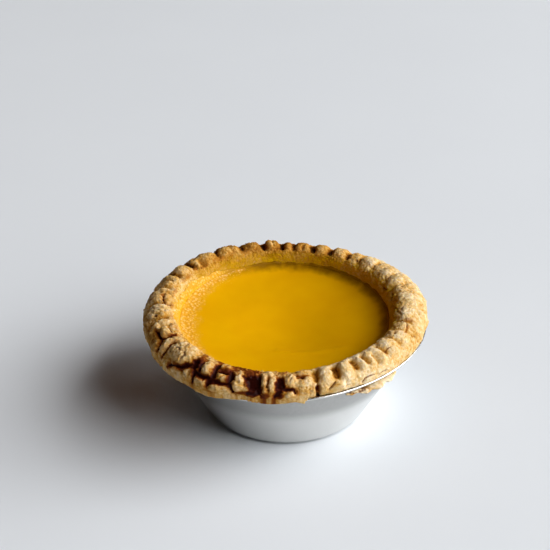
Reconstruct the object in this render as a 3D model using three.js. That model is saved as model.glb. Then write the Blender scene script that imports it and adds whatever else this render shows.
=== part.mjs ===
import * as THREE from "three";

// An egg tart standing in the pressed aluminium tin it was baked in.
// Millimetres, +Z up, origin at the centre of the tin's flat foot.
// Angles are in degrees: 0 is +X, 90 is +Y, 270 is the side that faces -Y.

// ---- the tin -------------------------------------------------------------
const tinFootRadius = 18.1;
const tinCornerRadius = 3.4;
const tinMouthRadius = 33.0;
const tinMouthHeight = 22.9;
const tinWallThickness = 0.5;
const tinFlangeRadius = 35.8;
const tinFlangeHeight = 24.0;
const tinBeadHeight = 0.6;
const tinOvalness = 0.5;
const tinSaddleLift = 0.6;
const tinSaddleAngle = 320;
const tinWarpStartsAt = 13;
const tinSteps = 60;

// ---- the pastry case -----------------------------------------------------
const fitGap = 0.32;
const caseFloorThickness = 4.0;
const caseWallThickness = 4.2;
const custardLineRadius = 26.95;
const custardLineShift = -0.65;
const custardLineOvalness = 0.35;
const rimMeanLine = 26.5;
const rimMeanReach = 36.3;
const rimMeanCrest = 29.85;
const rimMeanLip = 24.55;
const rimSteps = 192;
const wallSteps = 64;
const rimRows = 16;

// Half section over the rim, from just under the custard, over the crest, to the lip.
const rimSection = [
  [26.5, 25.05],
  [27.4, 27.3],
  [28.8, 28.9],
  [30.9, 29.85],
  [32.8, 29.55],
  [34.6, 28.4],
  [35.9, 26.8],
  [36.3, 25.4],
  [36.2, 24.55],
];

// How far out the pastry reaches and how high its crest stands, every 15 degrees.
const rimReach = aroundTheRim([
  36.3, 36.7, 36.0, 35.8, 34.8, 34.4, 34.7, 35.2, 36.3, 36.1, 36.1, 36.2,
  36.4, 36.3, 36.8, 37.5, 38.2, 36.5, 37.2, 35.5, 35.1, 35.05, 35.15, 35.6,
]);
const rimCrest = aroundTheRim([
  30.3, 30.4, 30.2, 29.8, 29.3, 29.2, 29.3, 29.5, 29.7, 29.8, 29.8, 29.8,
  29.8, 29.7, 29.6, 29.5, 29.2, 28.9, 28.9, 29.0, 29.2, 29.5, 29.8, 30.1,
]);

// How far the crest leans in over the custard (below 0, away from it), every 15 degrees.
const crestLean = aroundTheRim([
  0.4, 0.5, 0.7, 0.9, 0.8, 0.6, 0.5, 0.4, 0.4, 0.4, 0.4, 0.4,
  0.4, 0.3, 0.1, -0.2, -0.5, -0.6, -0.6, -0.4, 0.0, 0.2, 0.0, -0.1,
]);
const crestLeanLift = 0.3;

// Grooves pressed between the crimps: angle at the crest, and depth.
const crimpGrooves = [
  [6, 0.5], [18, 1.0], [28, 0.5], [38.5, 0.9], [47.5, 0.9], [56, 1.1],
  [65.5, 1.1], [74, 1.1], [81.5, 0.9], [92.5, 1.2], [101, 1.0], [109, 0.9],
  [117, 0.9], [123.5, 0.9], [131, 0.8], [141.5, 1.2], [154.5, 1.0], [168.5, 0.9],
  [181, 1.1], [190, 0.4], [198, 0.8], [208.5, 1.2], [215, 0.7], [229, 1.1],
  [240, 1.1], [248, 1.1], [256, 1.4], [267, 1.3], [275, 0.7], [282, 1.2],
  [291, 1.5], [299.5, 1.1], [305.8, 0.9], [316, 1.1], [326, 0.9], [334.5, 0.7],
  [344.5, 1.2], [355.5, 0.9],
];
const grooveSlant = 3.0;
const crimpRoundness = 0.62;

// Single lumps and hollows: angle, place across the rim, half length along
// the rim, half width across it, and rise (a hollow has a negative rise).
const lumpsAndHollows = [
  [97, 7.0, 2.2, 2.4, 1.1],
  [119.5, 7.0, 2.0, 2.0, 0.5],
  [136, 8.0, 2.6, 2.6, 0.4],
  [148, 8.0, 3.0, 2.6, 0.4],
  [189, 9.0, 4.4, 3.4, 0.5],
  [221.5, 9.6, 4.0, 3.4, 0.8],
  [212, 10.4, 1.3, 3.0, 0.5],
  [227, 12.9, 4.2, 0.9, -0.9],
  [235.5, 9.6, 1.9, 2.4, 0.6],
  [236.5, 12.0, 4.0, 0.9, -0.9],
  [244, 8.4, 1.6, 1.6, 0.5],
  [244.5, 11.2, 1.9, 1.2, 0.6],
  [251, 12.0, 1.7, 2.2, 0.7],
  [256.5, 11.4, 1.6, 2.8, -0.8],
  [262.5, 10.8, 1.9, 3.4, 0.6],
  [267, 11.6, 1.0, 2.8, -0.6],
  [272.5, 9.8, 2.0, 2.2, 0.5],
  [274, 12.6, 2.6, 1.0, -0.7],
  [278.5, 12.2, 2.6, 2.8, 0.7],
  [291, 10.4, 1.3, 2.2, -0.8],
  [289, 13.8, 1.8, 1.2, 0.4],
  [302.3, 8.8, 1.2, 1.6, -0.5],
  [310, 9.4, 2.6, 2.4, 0.3],
  [322, 10.0, 2.6, 2.6, 0.3],
  [345, 7.8, 1.2, 2.6, -0.7],
  [5.5, 8.2, 4.0, 3.0, 0.4],
  [28, 6.4, 3.2, 2.4, 0.4],
];

// Lobes of pastry that sag over the edge of the tin: angle, half length, drop.
const saggingLobes = [
  [278.5, 2.8, 1.2],
  [262, 3.4, 0.25],
  [234, 8.0, 0.2],
];

// ---- the custard -----------------------------------------------------------
const custardFloorGap = 0.35;
const custardRimHeight = 25.3;
const custardEdgeDrop = 1.8;
const custardEdgeDropShift = 0.6;
const custardEdgeSharpness = 8;
const custardBowl = { x: 0.5, y: 0, radius: 12.5, depth: 2.7 };
const custardSteps = 48;
const custardRings = [0.2, 0.4, 0.6, 0.78, 0.9, 0.97];
const custardDimple = { x: 5.5, y: -7.5, radius: 7.0, depth: 0.35 };
const custardFilm = aroundTheRim([
  0.5, 0.5, 0.5, 0.5, 0.5, 0.5, 0.5, 0.6, 0.9, 1.4, 2.0, 2.3,
  2.3, 2.2, 1.9, 1.6, 1.2, 0.8, 0.6, 0.5, 0.5, 0.5, 0.5, 0.5,
]);

// ---- the scrap of pastry baked on under the flange ------------------------
const scrapFrom = 294.5;
const scrapTo = 320.5;
const scrapInnerRadius = 34.0;
const scrapReach = 3.0;
const scrapThickness = 1.5;
const scrapSteps = 20;

// ---------------------------------------------------------------------------

function radians(degrees) {
  return (degrees * Math.PI) / 180;
}

function turnBetween(angle, from) {
  return ((((angle - from + 180) % 360) + 360) % 360) - 180;
}

function easeStep(low, high, value) {
  const share = Math.min(1, Math.max(0, (value - low) / (high - low)));
  return share * share * (3 - 2 * share);
}

function mix(from, to, share) {
  return from + (to - from) * share;
}

// A smooth closed curve through values spaced evenly round the rim.
function aroundTheRim(values) {
  const step = 360 / values.length;
  return (angle) => {
    const place = (((angle % 360) + 360) % 360) / step;
    const low = Math.floor(place);
    const share = place - low;
    const from = values[low % values.length];
    const to = values[(low + 1) % values.length];
    return mix(from, to, share * share * (3 - 2 * share));
  };
}

// Small repeatable unevenness of hand-pressed pastry, from seeded waves.
function seededWaves(seed, count, lowest, highest) {
  let state = seed;
  const draw = () => {
    state = (state * 16807) % 2147483647;
    return state / 2147483647;
  };
  const waves = [];
  for (let i = 0; i < count; i += 1) {
    waves.push({
      round: Math.round(mix(lowest, highest, draw())),
      across: mix(-0.9, 0.9, draw()),
      phase: draw() * Math.PI * 2,
      size: mix(0.5, 1, draw()),
    });
  }
  const total = waves.reduce((sum, wave) => sum + wave.size, 0);
  return (angle, across) => {
    let sum = 0;
    for (const wave of waves) {
      const turn = radians(angle) * wave.round + across * wave.across + wave.phase;
      sum += Math.sin(turn) * wave.size;
    }
    return sum / total;
  };
}

const pastryWaves = seededWaves(73, 14, 9, 70);

// ---- shape of the tin ------------------------------------------------------

const wallRun = tinMouthRadius - tinFootRadius;
const wallRise = tinMouthHeight - tinCornerRadius;
const wallTilt =
  Math.atan2(wallRise, wallRun) -
  Math.acos(tinCornerRadius / Math.hypot(wallRun, wallRise));

// Radius of the tin's outer wall at a height, set in by a distance from it.
function wallRadius(height, setIn) {
  const cornerCentre = tinFootRadius;
  const cornerEndHeight = tinCornerRadius + tinCornerRadius * Math.sin(wallTilt);
  if (height < cornerEndHeight) {
    const reach = tinCornerRadius - setIn;
    const drop = Math.min(reach, tinCornerRadius - height);
    return cornerCentre + Math.sqrt(Math.max(0, reach * reach - drop * drop));
  }
  const startRadius = cornerCentre + tinCornerRadius * Math.cos(wallTilt);
  const lean = (tinMouthRadius - startRadius) / (tinMouthHeight - cornerEndHeight);
  const outer = startRadius + (height - cornerEndHeight) * lean;
  return outer - setIn / Math.cos(Math.atan(lean));
}

function saddle(angle) {
  return Math.cos(2 * radians(angle - tinSaddleAngle));
}

function warpShare(height) {
  return easeStep(tinWarpStartsAt, tinMouthHeight, height);
}

// The thin tin has gone slightly oval and its flange stands in a slight saddle.
function warpedTin(angle, radius, height) {
  const share = warpShare(height) * saddle(angle);
  return [radius - tinOvalness * share, height + tinSaddleLift * share];
}

function flangeRadiusAt(angle) {
  return tinFlangeRadius - tinOvalness * saddle(angle);
}

function flangeTopAt(angle) {
  return tinFlangeHeight + tinSaddleLift * saddle(angle);
}

function tinSection() {
  const t = tinWallThickness;
  const outer = [[tinFootRadius, 0]];
  for (const height of [0.6, 2.0, 4.2, 7.0, 13.0, tinMouthHeight]) {
    outer.push([wallRadius(height, 0), height]);
  }
  const flange = [
    [tinMouthRadius + 1.0, tinMouthHeight + 0.55],
    [tinFlangeRadius - 0.9, tinFlangeHeight - tinBeadHeight + 0.1],
    [tinFlangeRadius - 0.25, tinFlangeHeight - tinBeadHeight],
    [tinFlangeRadius, tinFlangeHeight - tinBeadHeight / 2],
    [tinFlangeRadius - 0.25, tinFlangeHeight],
    [tinFlangeRadius - 0.9, tinFlangeHeight - 0.05],
    [tinMouthRadius + 0.9, tinMouthHeight + 1.05],
    [tinMouthRadius - 0.05, tinMouthHeight + 0.6],
  ];
  const inner = [];
  for (const height of [13.0, 6.0, 3.0, 1.2]) {
    inner.push([wallRadius(height, t), height]);
  }
  inner.push([tinFootRadius - 0.3, t]);
  return [...outer, ...flange, ...inner];
}

// ---- shape of the pastry ---------------------------------------------------

const sectionLengths = [0];
for (let i = 1; i < rimSection.length; i += 1) {
  const [r0, z0] = rimSection[i - 1];
  const [r1, z1] = rimSection[i];
  sectionLengths.push(sectionLengths[i - 1] + Math.hypot(r1 - r0, z1 - z0));
}
const rimWidth = sectionLengths[sectionLengths.length - 1];

// Smooth curve through the stations of the rim's section.
function meanRim(across) {
  const place = Math.min(rimWidth, Math.max(0, across));
  let i = 0;
  while (i < rimSection.length - 2 && place > sectionLengths[i + 1]) {
    i += 1;
  }
  const share = (place - sectionLengths[i]) / (sectionLengths[i + 1] - sectionLengths[i]);
  const before = rimSection[Math.max(0, i - 1)];
  const from = rimSection[i];
  const to = rimSection[i + 1];
  const after = rimSection[Math.min(rimSection.length - 1, i + 2)];
  return [0, 1].map((k) => {
    const a = 2 * from[k];
    const b = to[k] - before[k];
    const c = 2 * before[k] - 5 * from[k] + 4 * to[k] - after[k];
    const d = 3 * from[k] - before[k] - 3 * to[k] + after[k];
    return 0.5 * (a + b * share + c * share * share + d * share ** 3);
  });
}

// The rim before crimping: the mean section drawn out to the local reach and crest.
function plainRim(angle, across) {
  const [meanRadius, meanHeight] = meanRim(across);
  const line = custardLine(angle);
  const out = Math.max(0, meanRadius - rimMeanLine);
  const stretch = (rimReach(angle) - line) / (rimMeanReach - rimMeanLine);
  const lift = (rimCrest(angle) - rimMeanLip) / (rimMeanCrest - rimMeanLip);
  const share = easeStep(rimMeanLine, rimMeanLine + 4, meanRadius);
  const lifted = rimMeanLip + (meanHeight - rimMeanLip) * lift;
  const leaning = crestLean(angle) * easeStep(0, 4.2, across) * easeStep(11, 6, across);
  return [
    line + out * stretch - leaning,
    mix(meanHeight, lifted, share) + leaning * crestLeanLift,
  ];
}

// The custard fills the case a little nearer to the -X side, in a slight oval.
function custardLine(angle) {
  const turn = radians(angle);
  const shift = custardLineShift * Math.cos(turn);
  return custardLineRadius + shift - custardLineOvalness * Math.cos(2 * turn);
}

// Rounded crimps with a narrow groove between each two.
function crimpRelief(angle, across) {
  const slant = grooveSlant * ((across - 8) / 8);
  const place = (((angle - slant) % 360) + 360) % 360;
  let right = crimpGrooves.findIndex((groove) => groove[0] > place);
  if (right < 0) {
    right = crimpGrooves.length;
  }
  const left = (right + crimpGrooves.length - 1) % crimpGrooves.length;
  right %= crimpGrooves.length;
  const span = (((crimpGrooves[right][0] - crimpGrooves[left][0]) % 360) + 360) % 360;
  const share = ((((place - crimpGrooves[left][0]) % 360) + 360) % 360) / span;
  const pillow = Math.pow(4 * share * (1 - share), crimpRoundness);
  const depth = mix(crimpGrooves[left][1], crimpGrooves[right][1], share);
  const fade = easeStep(3, 6.5, across) * (1 - 0.75 * easeStep(11.5, 15, across));
  return (0.35 - (1 - pillow)) * depth * fade;
}

function lumpRelief(angle, across) {
  let sum = 0;
  for (const [where, place, along, width, rise] of lumpsAndHollows) {
    const x = (radians(turnBetween(angle, where)) * 33) / along;
    const y = (across - place) / width;
    const q = x * x + y * y;
    if (q < 4) {
      sum += rise * Math.exp(-q * 1.4);
    }
  }
  return sum;
}

function pastryRelief(angle, across) {
  const fade = easeStep(1.2, 4, across);
  const uneven = pastryWaves(angle, across) * 0.45 * fade;
  return crimpRelief(angle, across) + lumpRelief(angle, across) * fade + uneven;
}

// A point on the finished rim: the plain rim pushed out along its own normal.
function rimPoint(angle, across) {
  const step = 0.35;
  const [r0, z0] = plainRim(angle, Math.max(0, across - step));
  const [r1, z1] = plainRim(angle, Math.min(rimWidth, across + step));
  const length = Math.hypot(r1 - r0, z1 - z0);
  const normal = [-(z1 - z0) / length, (r1 - r0) / length];
  const [radius, height] = plainRim(angle, across);
  const push = pastryRelief(angle, across);
  return [radius + normal[0] * push, height + normal[1] * push];
}

function lobeDrop(angle) {
  let drop = 0;
  for (const [where, half, deep] of saggingLobes) {
    const x = (radians(turnBetween(angle, where)) * 37) / half;
    drop = Math.max(drop, deep * Math.exp(-x * x));
  }
  return drop;
}

// Lip and underside: the pastry rests on the flange and in places sags past it.
function undersideRows(angle) {
  const resting = flangeTopAt(angle) + fitGap;
  const lip = rimPoint(angle, rimWidth);
  const past = flangeRadiusAt(angle) + fitGap + 0.1;
  const hang = easeStep(0.5, 0.9, lip[0] - past);
  const low = resting - lobeDrop(angle) * hang;
  const turnIn = mix(lip[0] - 1.1, past + 0.05, hang);
  return [
    [lip[0] - 0.3, mix(lip[1], low, 0.75)],
    [mix(lip[0] - 0.7, Math.max(past + 0.15, lip[0] - 0.8), hang), low],
    [turnIn, low + 0.06],
    [turnIn - 0.2, resting],
  ];
}

function caseOutside() {
  const set = tinWallThickness + fitGap;
  const rows = [[tinFootRadius - 0.5, set]];
  for (const height of [1.5, 3.0, 6.0, 13.0, 21.0]) {
    rows.push([wallRadius(height, set), height]);
  }
  return rows;
}

function caseInside(angle) {
  const set = tinWallThickness + fitGap + caseWallThickness;
  const floor = tinWallThickness + fitGap + caseFloorThickness;
  return [
    [custardLine(angle) - 0.25, 23.6],
    [wallRadius(17.5, set), 17.5],
    [wallRadius(8.6, set), 8.6],
    [wallRadius(6.0, set) - 1.6, floor + 0.4],
    [9, floor],
  ];
}

// ---- closed bodies ---------------------------------------------------------

// Rings of points, each turned once round the axis, closed by a point at each end.
class RingedBody {
  constructor() {
    this.points = [];
    this.faces = [];
    this.last = null;
  }

  addPoint(x, y, z) {
    this.points.push(x, y, z);
    return this.points.length / 3 - 1;
  }

  addRing(steps, place) {
    const ring = [];
    for (let i = 0; i < steps; i += 1) {
      const angle = (360 * i) / steps;
      const [radius, height] = place(angle);
      const turn = radians(angle);
      ring.push(this.addPoint(radius * Math.cos(turn), radius * Math.sin(turn), height));
    }
    this.join(ring);
    this.last = ring;
  }

  addPole(height) {
    const ring = [this.addPoint(0, 0, height)];
    this.join(ring);
    this.last = ring;
  }

  // Joins the last ring to the next; the two may hold different numbers of points.
  join(ring) {
    if (!this.last) {
      return;
    }
    const below = this.last;
    let i = 0;
    let j = 0;
    const belowSteps = below.length > 1 ? below.length : 0;
    const ringSteps = ring.length > 1 ? ring.length : 0;
    while (i < belowSteps || j < ringSteps) {
      const belowShare = belowSteps ? (i + 1) / belowSteps : 2;
      const ringShare = ringSteps ? (j + 1) / ringSteps : 2;
      const a = below[i % below.length];
      const b = ring[j % ring.length];
      if (i < belowSteps && (belowShare <= ringShare || j >= ringSteps)) {
        this.faces.push(a, below[(i + 1) % below.length], b);
        i += 1;
      } else {
        this.faces.push(a, ring[(j + 1) % ring.length], b);
        j += 1;
      }
    }
  }

  mesh(name, colour, roughness, metalness) {
    return meshOf(this.points, this.faces, name, colour, roughness, metalness);
  }
}

function meshOf(points, faces, name, colour, roughness, metalness) {
  const geometry = new THREE.BufferGeometry();
  geometry.setAttribute("position", new THREE.Float32BufferAttribute(points, 3));
  geometry.setIndex(faces);
  geometry.computeVertexNormals();
  const material = new THREE.MeshStandardMaterial({ color: colour, roughness, metalness });
  material.name = name;
  const mesh = new THREE.Mesh(geometry, material);
  mesh.name = name;
  return mesh;
}

function buildTin() {
  const body = new RingedBody();
  body.addPole(0);
  for (const [radius, height] of tinSection()) {
    body.addRing(tinSteps, (angle) => warpedTin(angle, radius, height));
  }
  body.addPole(tinWallThickness);
  return body.mesh("tin", 0xc9cccd, 0.35, 1);
}

function buildCase() {
  const body = new RingedBody();
  body.addPole(tinWallThickness + fitGap);
  for (const [radius, height] of caseOutside()) {
    body.addRing(wallSteps, (angle) => warpedTin(angle, radius, height));
  }
  const shoulder = tinMouthRadius - tinWallThickness - fitGap - 0.1;
  body.addRing(rimSteps, (angle) => [
    shoulder - tinOvalness * saddle(angle),
    tinMouthHeight + 0.45 + tinSaddleLift * saddle(angle),
  ]);
  body.addRing(rimSteps, (angle) => {
    const resting = flangeTopAt(angle) + fitGap;
    return [tinMouthRadius + 0.6 - tinOvalness * saddle(angle), resting];
  });
  for (const row of [3, 2, 1, 0]) {
    body.addRing(rimSteps, (angle) => undersideRows(angle)[row]);
  }
  for (let row = 0; row < rimRows; row += 1) {
    const across = rimWidth * (1 - row / (rimRows - 1));
    body.addRing(rimSteps, (angle) => rimPoint(angle, across));
  }
  for (let row = 0; row < caseInside(0).length; row += 1) {
    body.addRing(wallSteps, (angle) => caseInside(angle)[row]);
  }
  body.addPole(tinWallThickness + fitGap + caseFloorThickness);
  return body.mesh("pastry_case", 0xd9ad68, 0.85, 0);
}

// The custard has sunk as it cooled, most at +X: steep by the crust, then a shallow bowl.
function custardTop(angle, share) {
  const turn = radians(angle);
  const radius = custardLine(angle) * share;
  const drop = custardEdgeDrop + custardEdgeDropShift * Math.cos(turn) * share;
  let height = custardRimHeight - drop * (1 - share ** custardEdgeSharpness);
  for (const hollow of [custardBowl, custardDimple]) {
    const x = radius * Math.cos(turn) - hollow.x;
    const y = radius * Math.sin(turn) - hollow.y;
    const away = Math.hypot(x, y) / hollow.radius;
    height -= hollow.depth * Math.exp(-away * away);
  }
  return height;
}

function buildCustard() {
  const body = new RingedBody();
  const set = tinWallThickness + fitGap + caseWallThickness + custardFloorGap;
  const floor = tinWallThickness + fitGap + caseFloorThickness + custardFloorGap;
  body.addPole(floor);
  body.addRing(custardSteps, () => [wallRadius(6.2, set) - 2.2, floor + 0.45]);
  body.addRing(custardSteps, () => [wallRadius(8.8, set), 8.8]);
  body.addRing(custardSteps, () => [wallRadius(17.6, set), 17.6]);
  body.addRing(custardSteps, (angle) => [custardLine(angle) - 0.65, 23.4]);
  body.addRing(custardSteps, (angle) => filmPoint(angle, 0.1, 0.36));
  body.addRing(custardSteps, (angle) => filmPoint(angle, custardFilm(angle), 0.36));
  body.addRing(custardSteps, (angle) => filmPoint(angle, custardFilm(angle) * 0.55, 0.62));
  for (const share of [...custardRings].reverse()) {
    body.addRing(custardSteps, (angle) => [
      custardLine(angle) * share,
      custardTop(angle, share),
    ]);
  }
  body.addPole(custardTop(0, 0));
  return body.mesh("custard", 0xdc9a08, 0.3, 0);
}

// The custard's skin climbs a little way up the pastry, just clear of it.
function filmPoint(angle, across, clear) {
  const [r0, z0] = plainRim(angle, 0.1);
  const [r1, z1] = plainRim(angle, 2.4);
  const length = Math.hypot(r1 - r0, z1 - z0);
  const [radius, height] = plainRim(angle, across);
  return [
    radius - ((z1 - z0) / length) * clear,
    height + ((r1 - r0) / length) * clear,
  ];
}

// A thin crumbly tongue of pastry caught under the flange.
function buildScrap() {
  const points = [];
  const faces = [];
  const edge = [];
  for (let i = 0; i <= scrapSteps; i += 1) {
    const share = i / scrapSteps;
    const angle = mix(scrapFrom, scrapTo, share);
    const swell = Math.pow(Math.sin(Math.PI * mix(0.06, 0.94, share)), 0.6);
    const uneven = 0.25 * Math.sin(i * 1.9) + 0.15 * Math.sin(i * 4.3 + 1);
    const top = flangeTopAt(angle) - tinBeadHeight - fitGap;
    const inner = scrapInnerRadius - tinOvalness * saddle(angle) + 0.35 * (1 - swell);
    const outer = inner + 0.5 + (scrapReach - 0.5) * swell + uneven * swell;
    const thick = scrapThickness * mix(0.45, 1, swell) + uneven * 0.5;
    edge.push([
      [inner, top - 0.1],
      [mix(inner, outer, 0.5), top],
      [outer, top - thick * 0.3],
      [outer - 0.15, top - thick * 0.75],
      [mix(inner, outer, 0.62), top - thick],
      [inner + 0.1, top - thick * 0.8],
    ].map(([radius, height]) => {
      const turn = radians(angle);
      return [radius * Math.cos(turn), radius * Math.sin(turn), height];
    }));
  }
  for (const row of edge) {
    for (const point of row) {
      points.push(...point);
    }
  }
  const around = edge[0].length;
  for (let i = 0; i < scrapSteps; i += 1) {
    for (let k = 0; k < around; k += 1) {
      const a = i * around + k;
      const b = i * around + ((k + 1) % around);
      faces.push(a, b, b + around, a, b + around, a + around);
    }
  }
  for (let k = 1; k < around - 1; k += 1) {
    faces.push(0, k + 1, k);
    const end = scrapSteps * around;
    faces.push(end, end + k, end + k + 1);
  }
  return meshOf(points, faces, "pastry_scrap", 0xdeb774, 0.85, 0);
}

// Turns a body's faces over if its enclosed volume comes out negative.
function facingOut(mesh) {
  const position = mesh.geometry.getAttribute("position");
  const index = mesh.geometry.getIndex();
  const corner = [new THREE.Vector3(), new THREE.Vector3(), new THREE.Vector3()];
  let volume = 0;
  for (let i = 0; i < index.count; i += 3) {
    corner.forEach((point, k) => point.fromBufferAttribute(position, index.getX(i + k)));
    volume += corner[0].dot(corner[1].clone().cross(corner[2])) / 6;
  }
  if (volume < 0) {
    for (let i = 0; i < index.count; i += 3) {
      const swap = index.getX(i + 1);
      index.setX(i + 1, index.getX(i + 2));
      index.setX(i + 2, swap);
    }
    mesh.geometry.computeVertexNormals();
  }
  return mesh;
}

const eggTart = new THREE.Group();
eggTart.name = "egg_tart";
for (const mesh of [buildTin(), buildCase(), buildCustard(), buildScrap()]) {
  eggTart.add(facingOut(mesh));
}

export default eggTart;
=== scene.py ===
"""Egg tart standing in the pressed aluminium tin it was baked in.

Shapes are worked out in millimetres, +Z up, with the origin at the centre of the tin's
foot, and become metres where each mesh is made. Angles round the rim are in degrees:
0 is +X, 90 is +Y and 270 is the side that faces -Y. "Across" is the distance over the
pastry rim in millimetres, from the custard line over the crest to the lip.
"""

import itertools
import math

import bpy
import numpy as np
from mathutils import Euler, Matrix, Vector


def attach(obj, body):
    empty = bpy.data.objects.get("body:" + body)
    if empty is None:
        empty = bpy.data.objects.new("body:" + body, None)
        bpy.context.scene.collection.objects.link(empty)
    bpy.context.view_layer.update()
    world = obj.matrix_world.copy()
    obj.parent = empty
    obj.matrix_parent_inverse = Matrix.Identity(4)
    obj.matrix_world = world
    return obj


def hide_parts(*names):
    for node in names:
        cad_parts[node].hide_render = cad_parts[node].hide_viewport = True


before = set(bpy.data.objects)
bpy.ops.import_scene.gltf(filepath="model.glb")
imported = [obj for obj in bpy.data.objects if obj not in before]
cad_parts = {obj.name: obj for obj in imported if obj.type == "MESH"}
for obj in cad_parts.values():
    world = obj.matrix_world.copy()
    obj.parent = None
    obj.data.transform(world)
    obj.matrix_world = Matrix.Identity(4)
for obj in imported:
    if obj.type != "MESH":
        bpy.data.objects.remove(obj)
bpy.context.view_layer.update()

MM = 0.001

# ---- the tin, as the frame has it --------------------------------------------------
TIN_FOOT_RADIUS = 18.1
TIN_CORNER_RADIUS = 3.4
TIN_MOUTH_RADIUS = 33.0
TIN_MOUTH_HEIGHT = 22.9
TIN_WALL = 0.5
TIN_FLANGE_RADIUS = 35.78
TIN_FLANGE_HEIGHT = 24.0
TIN_BEAD = 0.6
TIN_OVALNESS = 0.5
TIN_SADDLE_LIFT = 0.6
TIN_SADDLE_ANGLE = 320.0
TIN_WARP_STARTS_AT = 13.0
TIN_STEPS = 240
TIN_WALL_ROWS = 14
TIN_BEAD_ROWS = 12
TIN_INNER_ROWS = (18.0, 13.0, 9.0, 6.0, 4.0, 3.0, 2.0, 1.2)

# ---- the pastry case ---------------------------------------------------------------
FIT_GAP = 0.32
CASE_FLOOR = 4.0
CASE_WALL = 4.2
CUSTARD_LINE_RADIUS = 26.95
CUSTARD_LINE_SHIFT = -0.65
CUSTARD_LINE_OVALNESS = 0.35
RIM_MEAN_LINE = 26.5
RIM_MEAN_REACH = 36.3
RIM_MEAN_CREST = 29.85
RIM_MEAN_LIP = 24.55
RIM_LIFT_RUN = 4.0
RIM_STEPS = 1100
RIM_ROWS = 76
LIP_ROWS = 5
HIDDEN_STEPS = 120
CASE_OUTER_ROWS = (1.5, 3.0, 6.0, 13.0, 21.0)
CASE_INNER_TOP = 23.6
CASE_INNER_ROWS = (17.5, 8.6)
MM_PER_DEGREE = math.radians(33.0)
MM_PER_DEGREE_AT_LIP = math.radians(37.0)
RIM_INSET = 0.12
RISE_WHERE_LEANING = 0.30

RIM_SECTION = np.array([
    (26.5, 25.05), (27.4, 27.3), (28.8, 28.9), (30.9, 29.85), (32.8, 29.55),
    (34.6, 28.4), (35.9, 26.8), (36.3, 25.4), (36.2, 24.55),
])
RIM_REACH = (
    36.0, 36.5, 36.0, 35.8, 34.8, 34.4, 34.6, 35.2, 36.3, 36.1, 36.1, 36.1,
    36.3, 36.2, 36.8, 37.5, 38.2, 36.5, 36.8, 35.5, 35.2, 35.1, 35.15, 35.35,
)
RIM_CREST = (
    30.2, 30.3, 30.1, 29.8, 29.3, 29.2, 29.3, 29.5, 29.7, 29.8, 29.8, 29.8,
    29.8, 29.7, 29.6, 29.5, 29.2, 28.9, 28.9, 29.0, 29.2, 29.5, 29.8, 30.0,
)

# Soft dents that fingers left between the crimps: width of the rounded shoulder, depth,
# and a line of angle and place across.
PINCHES = (
    (1.6, 0.35, ((356, 5), (356.5, 11))),
    (1.6, 0.4, ((8.5, 4.2), (9.5, 9.5))),
    (2, 0.5, ((15.5, 3.4), (17, 10))),
    (2, 0.6, ((25, 3.6), (27, 10))),
    (1.6, 0.35, ((32, 3.6), (33.5, 9))),
    (1.8, 0.8, ((38, 3.8), (39.5, 9), (41, 12))),
    (1.8, 0.95, ((47.6, 4), (49.5, 8.5), (51, 12))),
    (1.7, 1.3, ((55.4, 4), (57.2, 8), (58.5, 12))),
    (1.7, 1.35, ((65.4, 3.8), (67, 8), (68, 12))),
    (1.7, 1.35, ((75, 3.6), (76.8, 8), (77.5, 12))),
    (0.9, 0.6, ((81.4, 4.6), (81.6, 8))),
    (1.5, 1.0, ((86, 3.6), (86, 8), (86, 12))),
    (1.4, 1.3, ((91.6, 3.8), (92.2, 8), (92, 12))),
    (0.7, 0.35, ((96.7, 5), (96.7, 9.5))),
    (1.7, 1.35, ((101.2, 3.8), (101.8, 8), (101, 12))),
    (2.4, 1.1, ((112.2, 4.2), (112.4, 8), (111.5, 12))),
    (1.8, 1.15, ((126.4, 3.8), (125.8, 8), (124.5, 12), (124, 16))),
    (1.6, 0.6, ((118, 4.6), (118.2, 9))),
    (1.8, 0.7, ((137.4, 4), (136.5, 8.5))),
    (1.7, 1.9, ((142.4, 4.4), (143, 8), (142, 12), (141.6, 16.5))),
    (1.4, 1.5, ((154.6, 4.6), (153.6, 8), (152, 12), (151.4, 16.5))),
    (1.3, 0.8, ((160.4, 5.4), (160, 9.5), (159.6, 14))),
    (1.5, 1.3, ((167.4, 4.8), (167, 8.5), (166, 12), (165.4, 16.5))),
    (0.9, 0.6, ((171.8, 5.2), (171.2, 9.5))),
    (1.4, 1.2, ((181.8, 4.6), (180.6, 8), (179.5, 12), (179, 16.5))),
    (1.4, 0.75, ((194.2, 5.2), (193.8, 11), (193.4, 15.5))),
    (1.1, 0.8, ((199.4, 5.4), (199, 9.8))),
    (2, 1.3, ((282.2, 5), (282.5, 8.5), (282.6, 12.5))),
    (2.1, 1.9, ((291.2, 5.2), (291.7, 8.5), (291.9, 12.2))),
    (1.2, 0.5, ((294.4, 11.8), (294.6, 14.6))),
    (2.3, 1.25, ((300.4, 5.4), (301.2, 8.5), (301.8, 11.6))),
    (1.9, 1.05, ((306.4, 5.4), (307, 8), (308, 11.4))),
    (1.8, 0.8, ((311, 7.4), (311.8, 10), (312.4, 12.6))),
    (2.3, 1.05, ((316.8, 4.8), (318, 8.5), (318.8, 12))),
    (2.4, 0.75, ((326.6, 4), (327.6, 8), (327.8, 12.6))),
    (2.2, 0.6, ((334.8, 4), (336, 8), (338.6, 13.8))),
    (2.1, 0.7, ((343.6, 3.4), (343.8, 8), (343, 11.4))),
)

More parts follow.
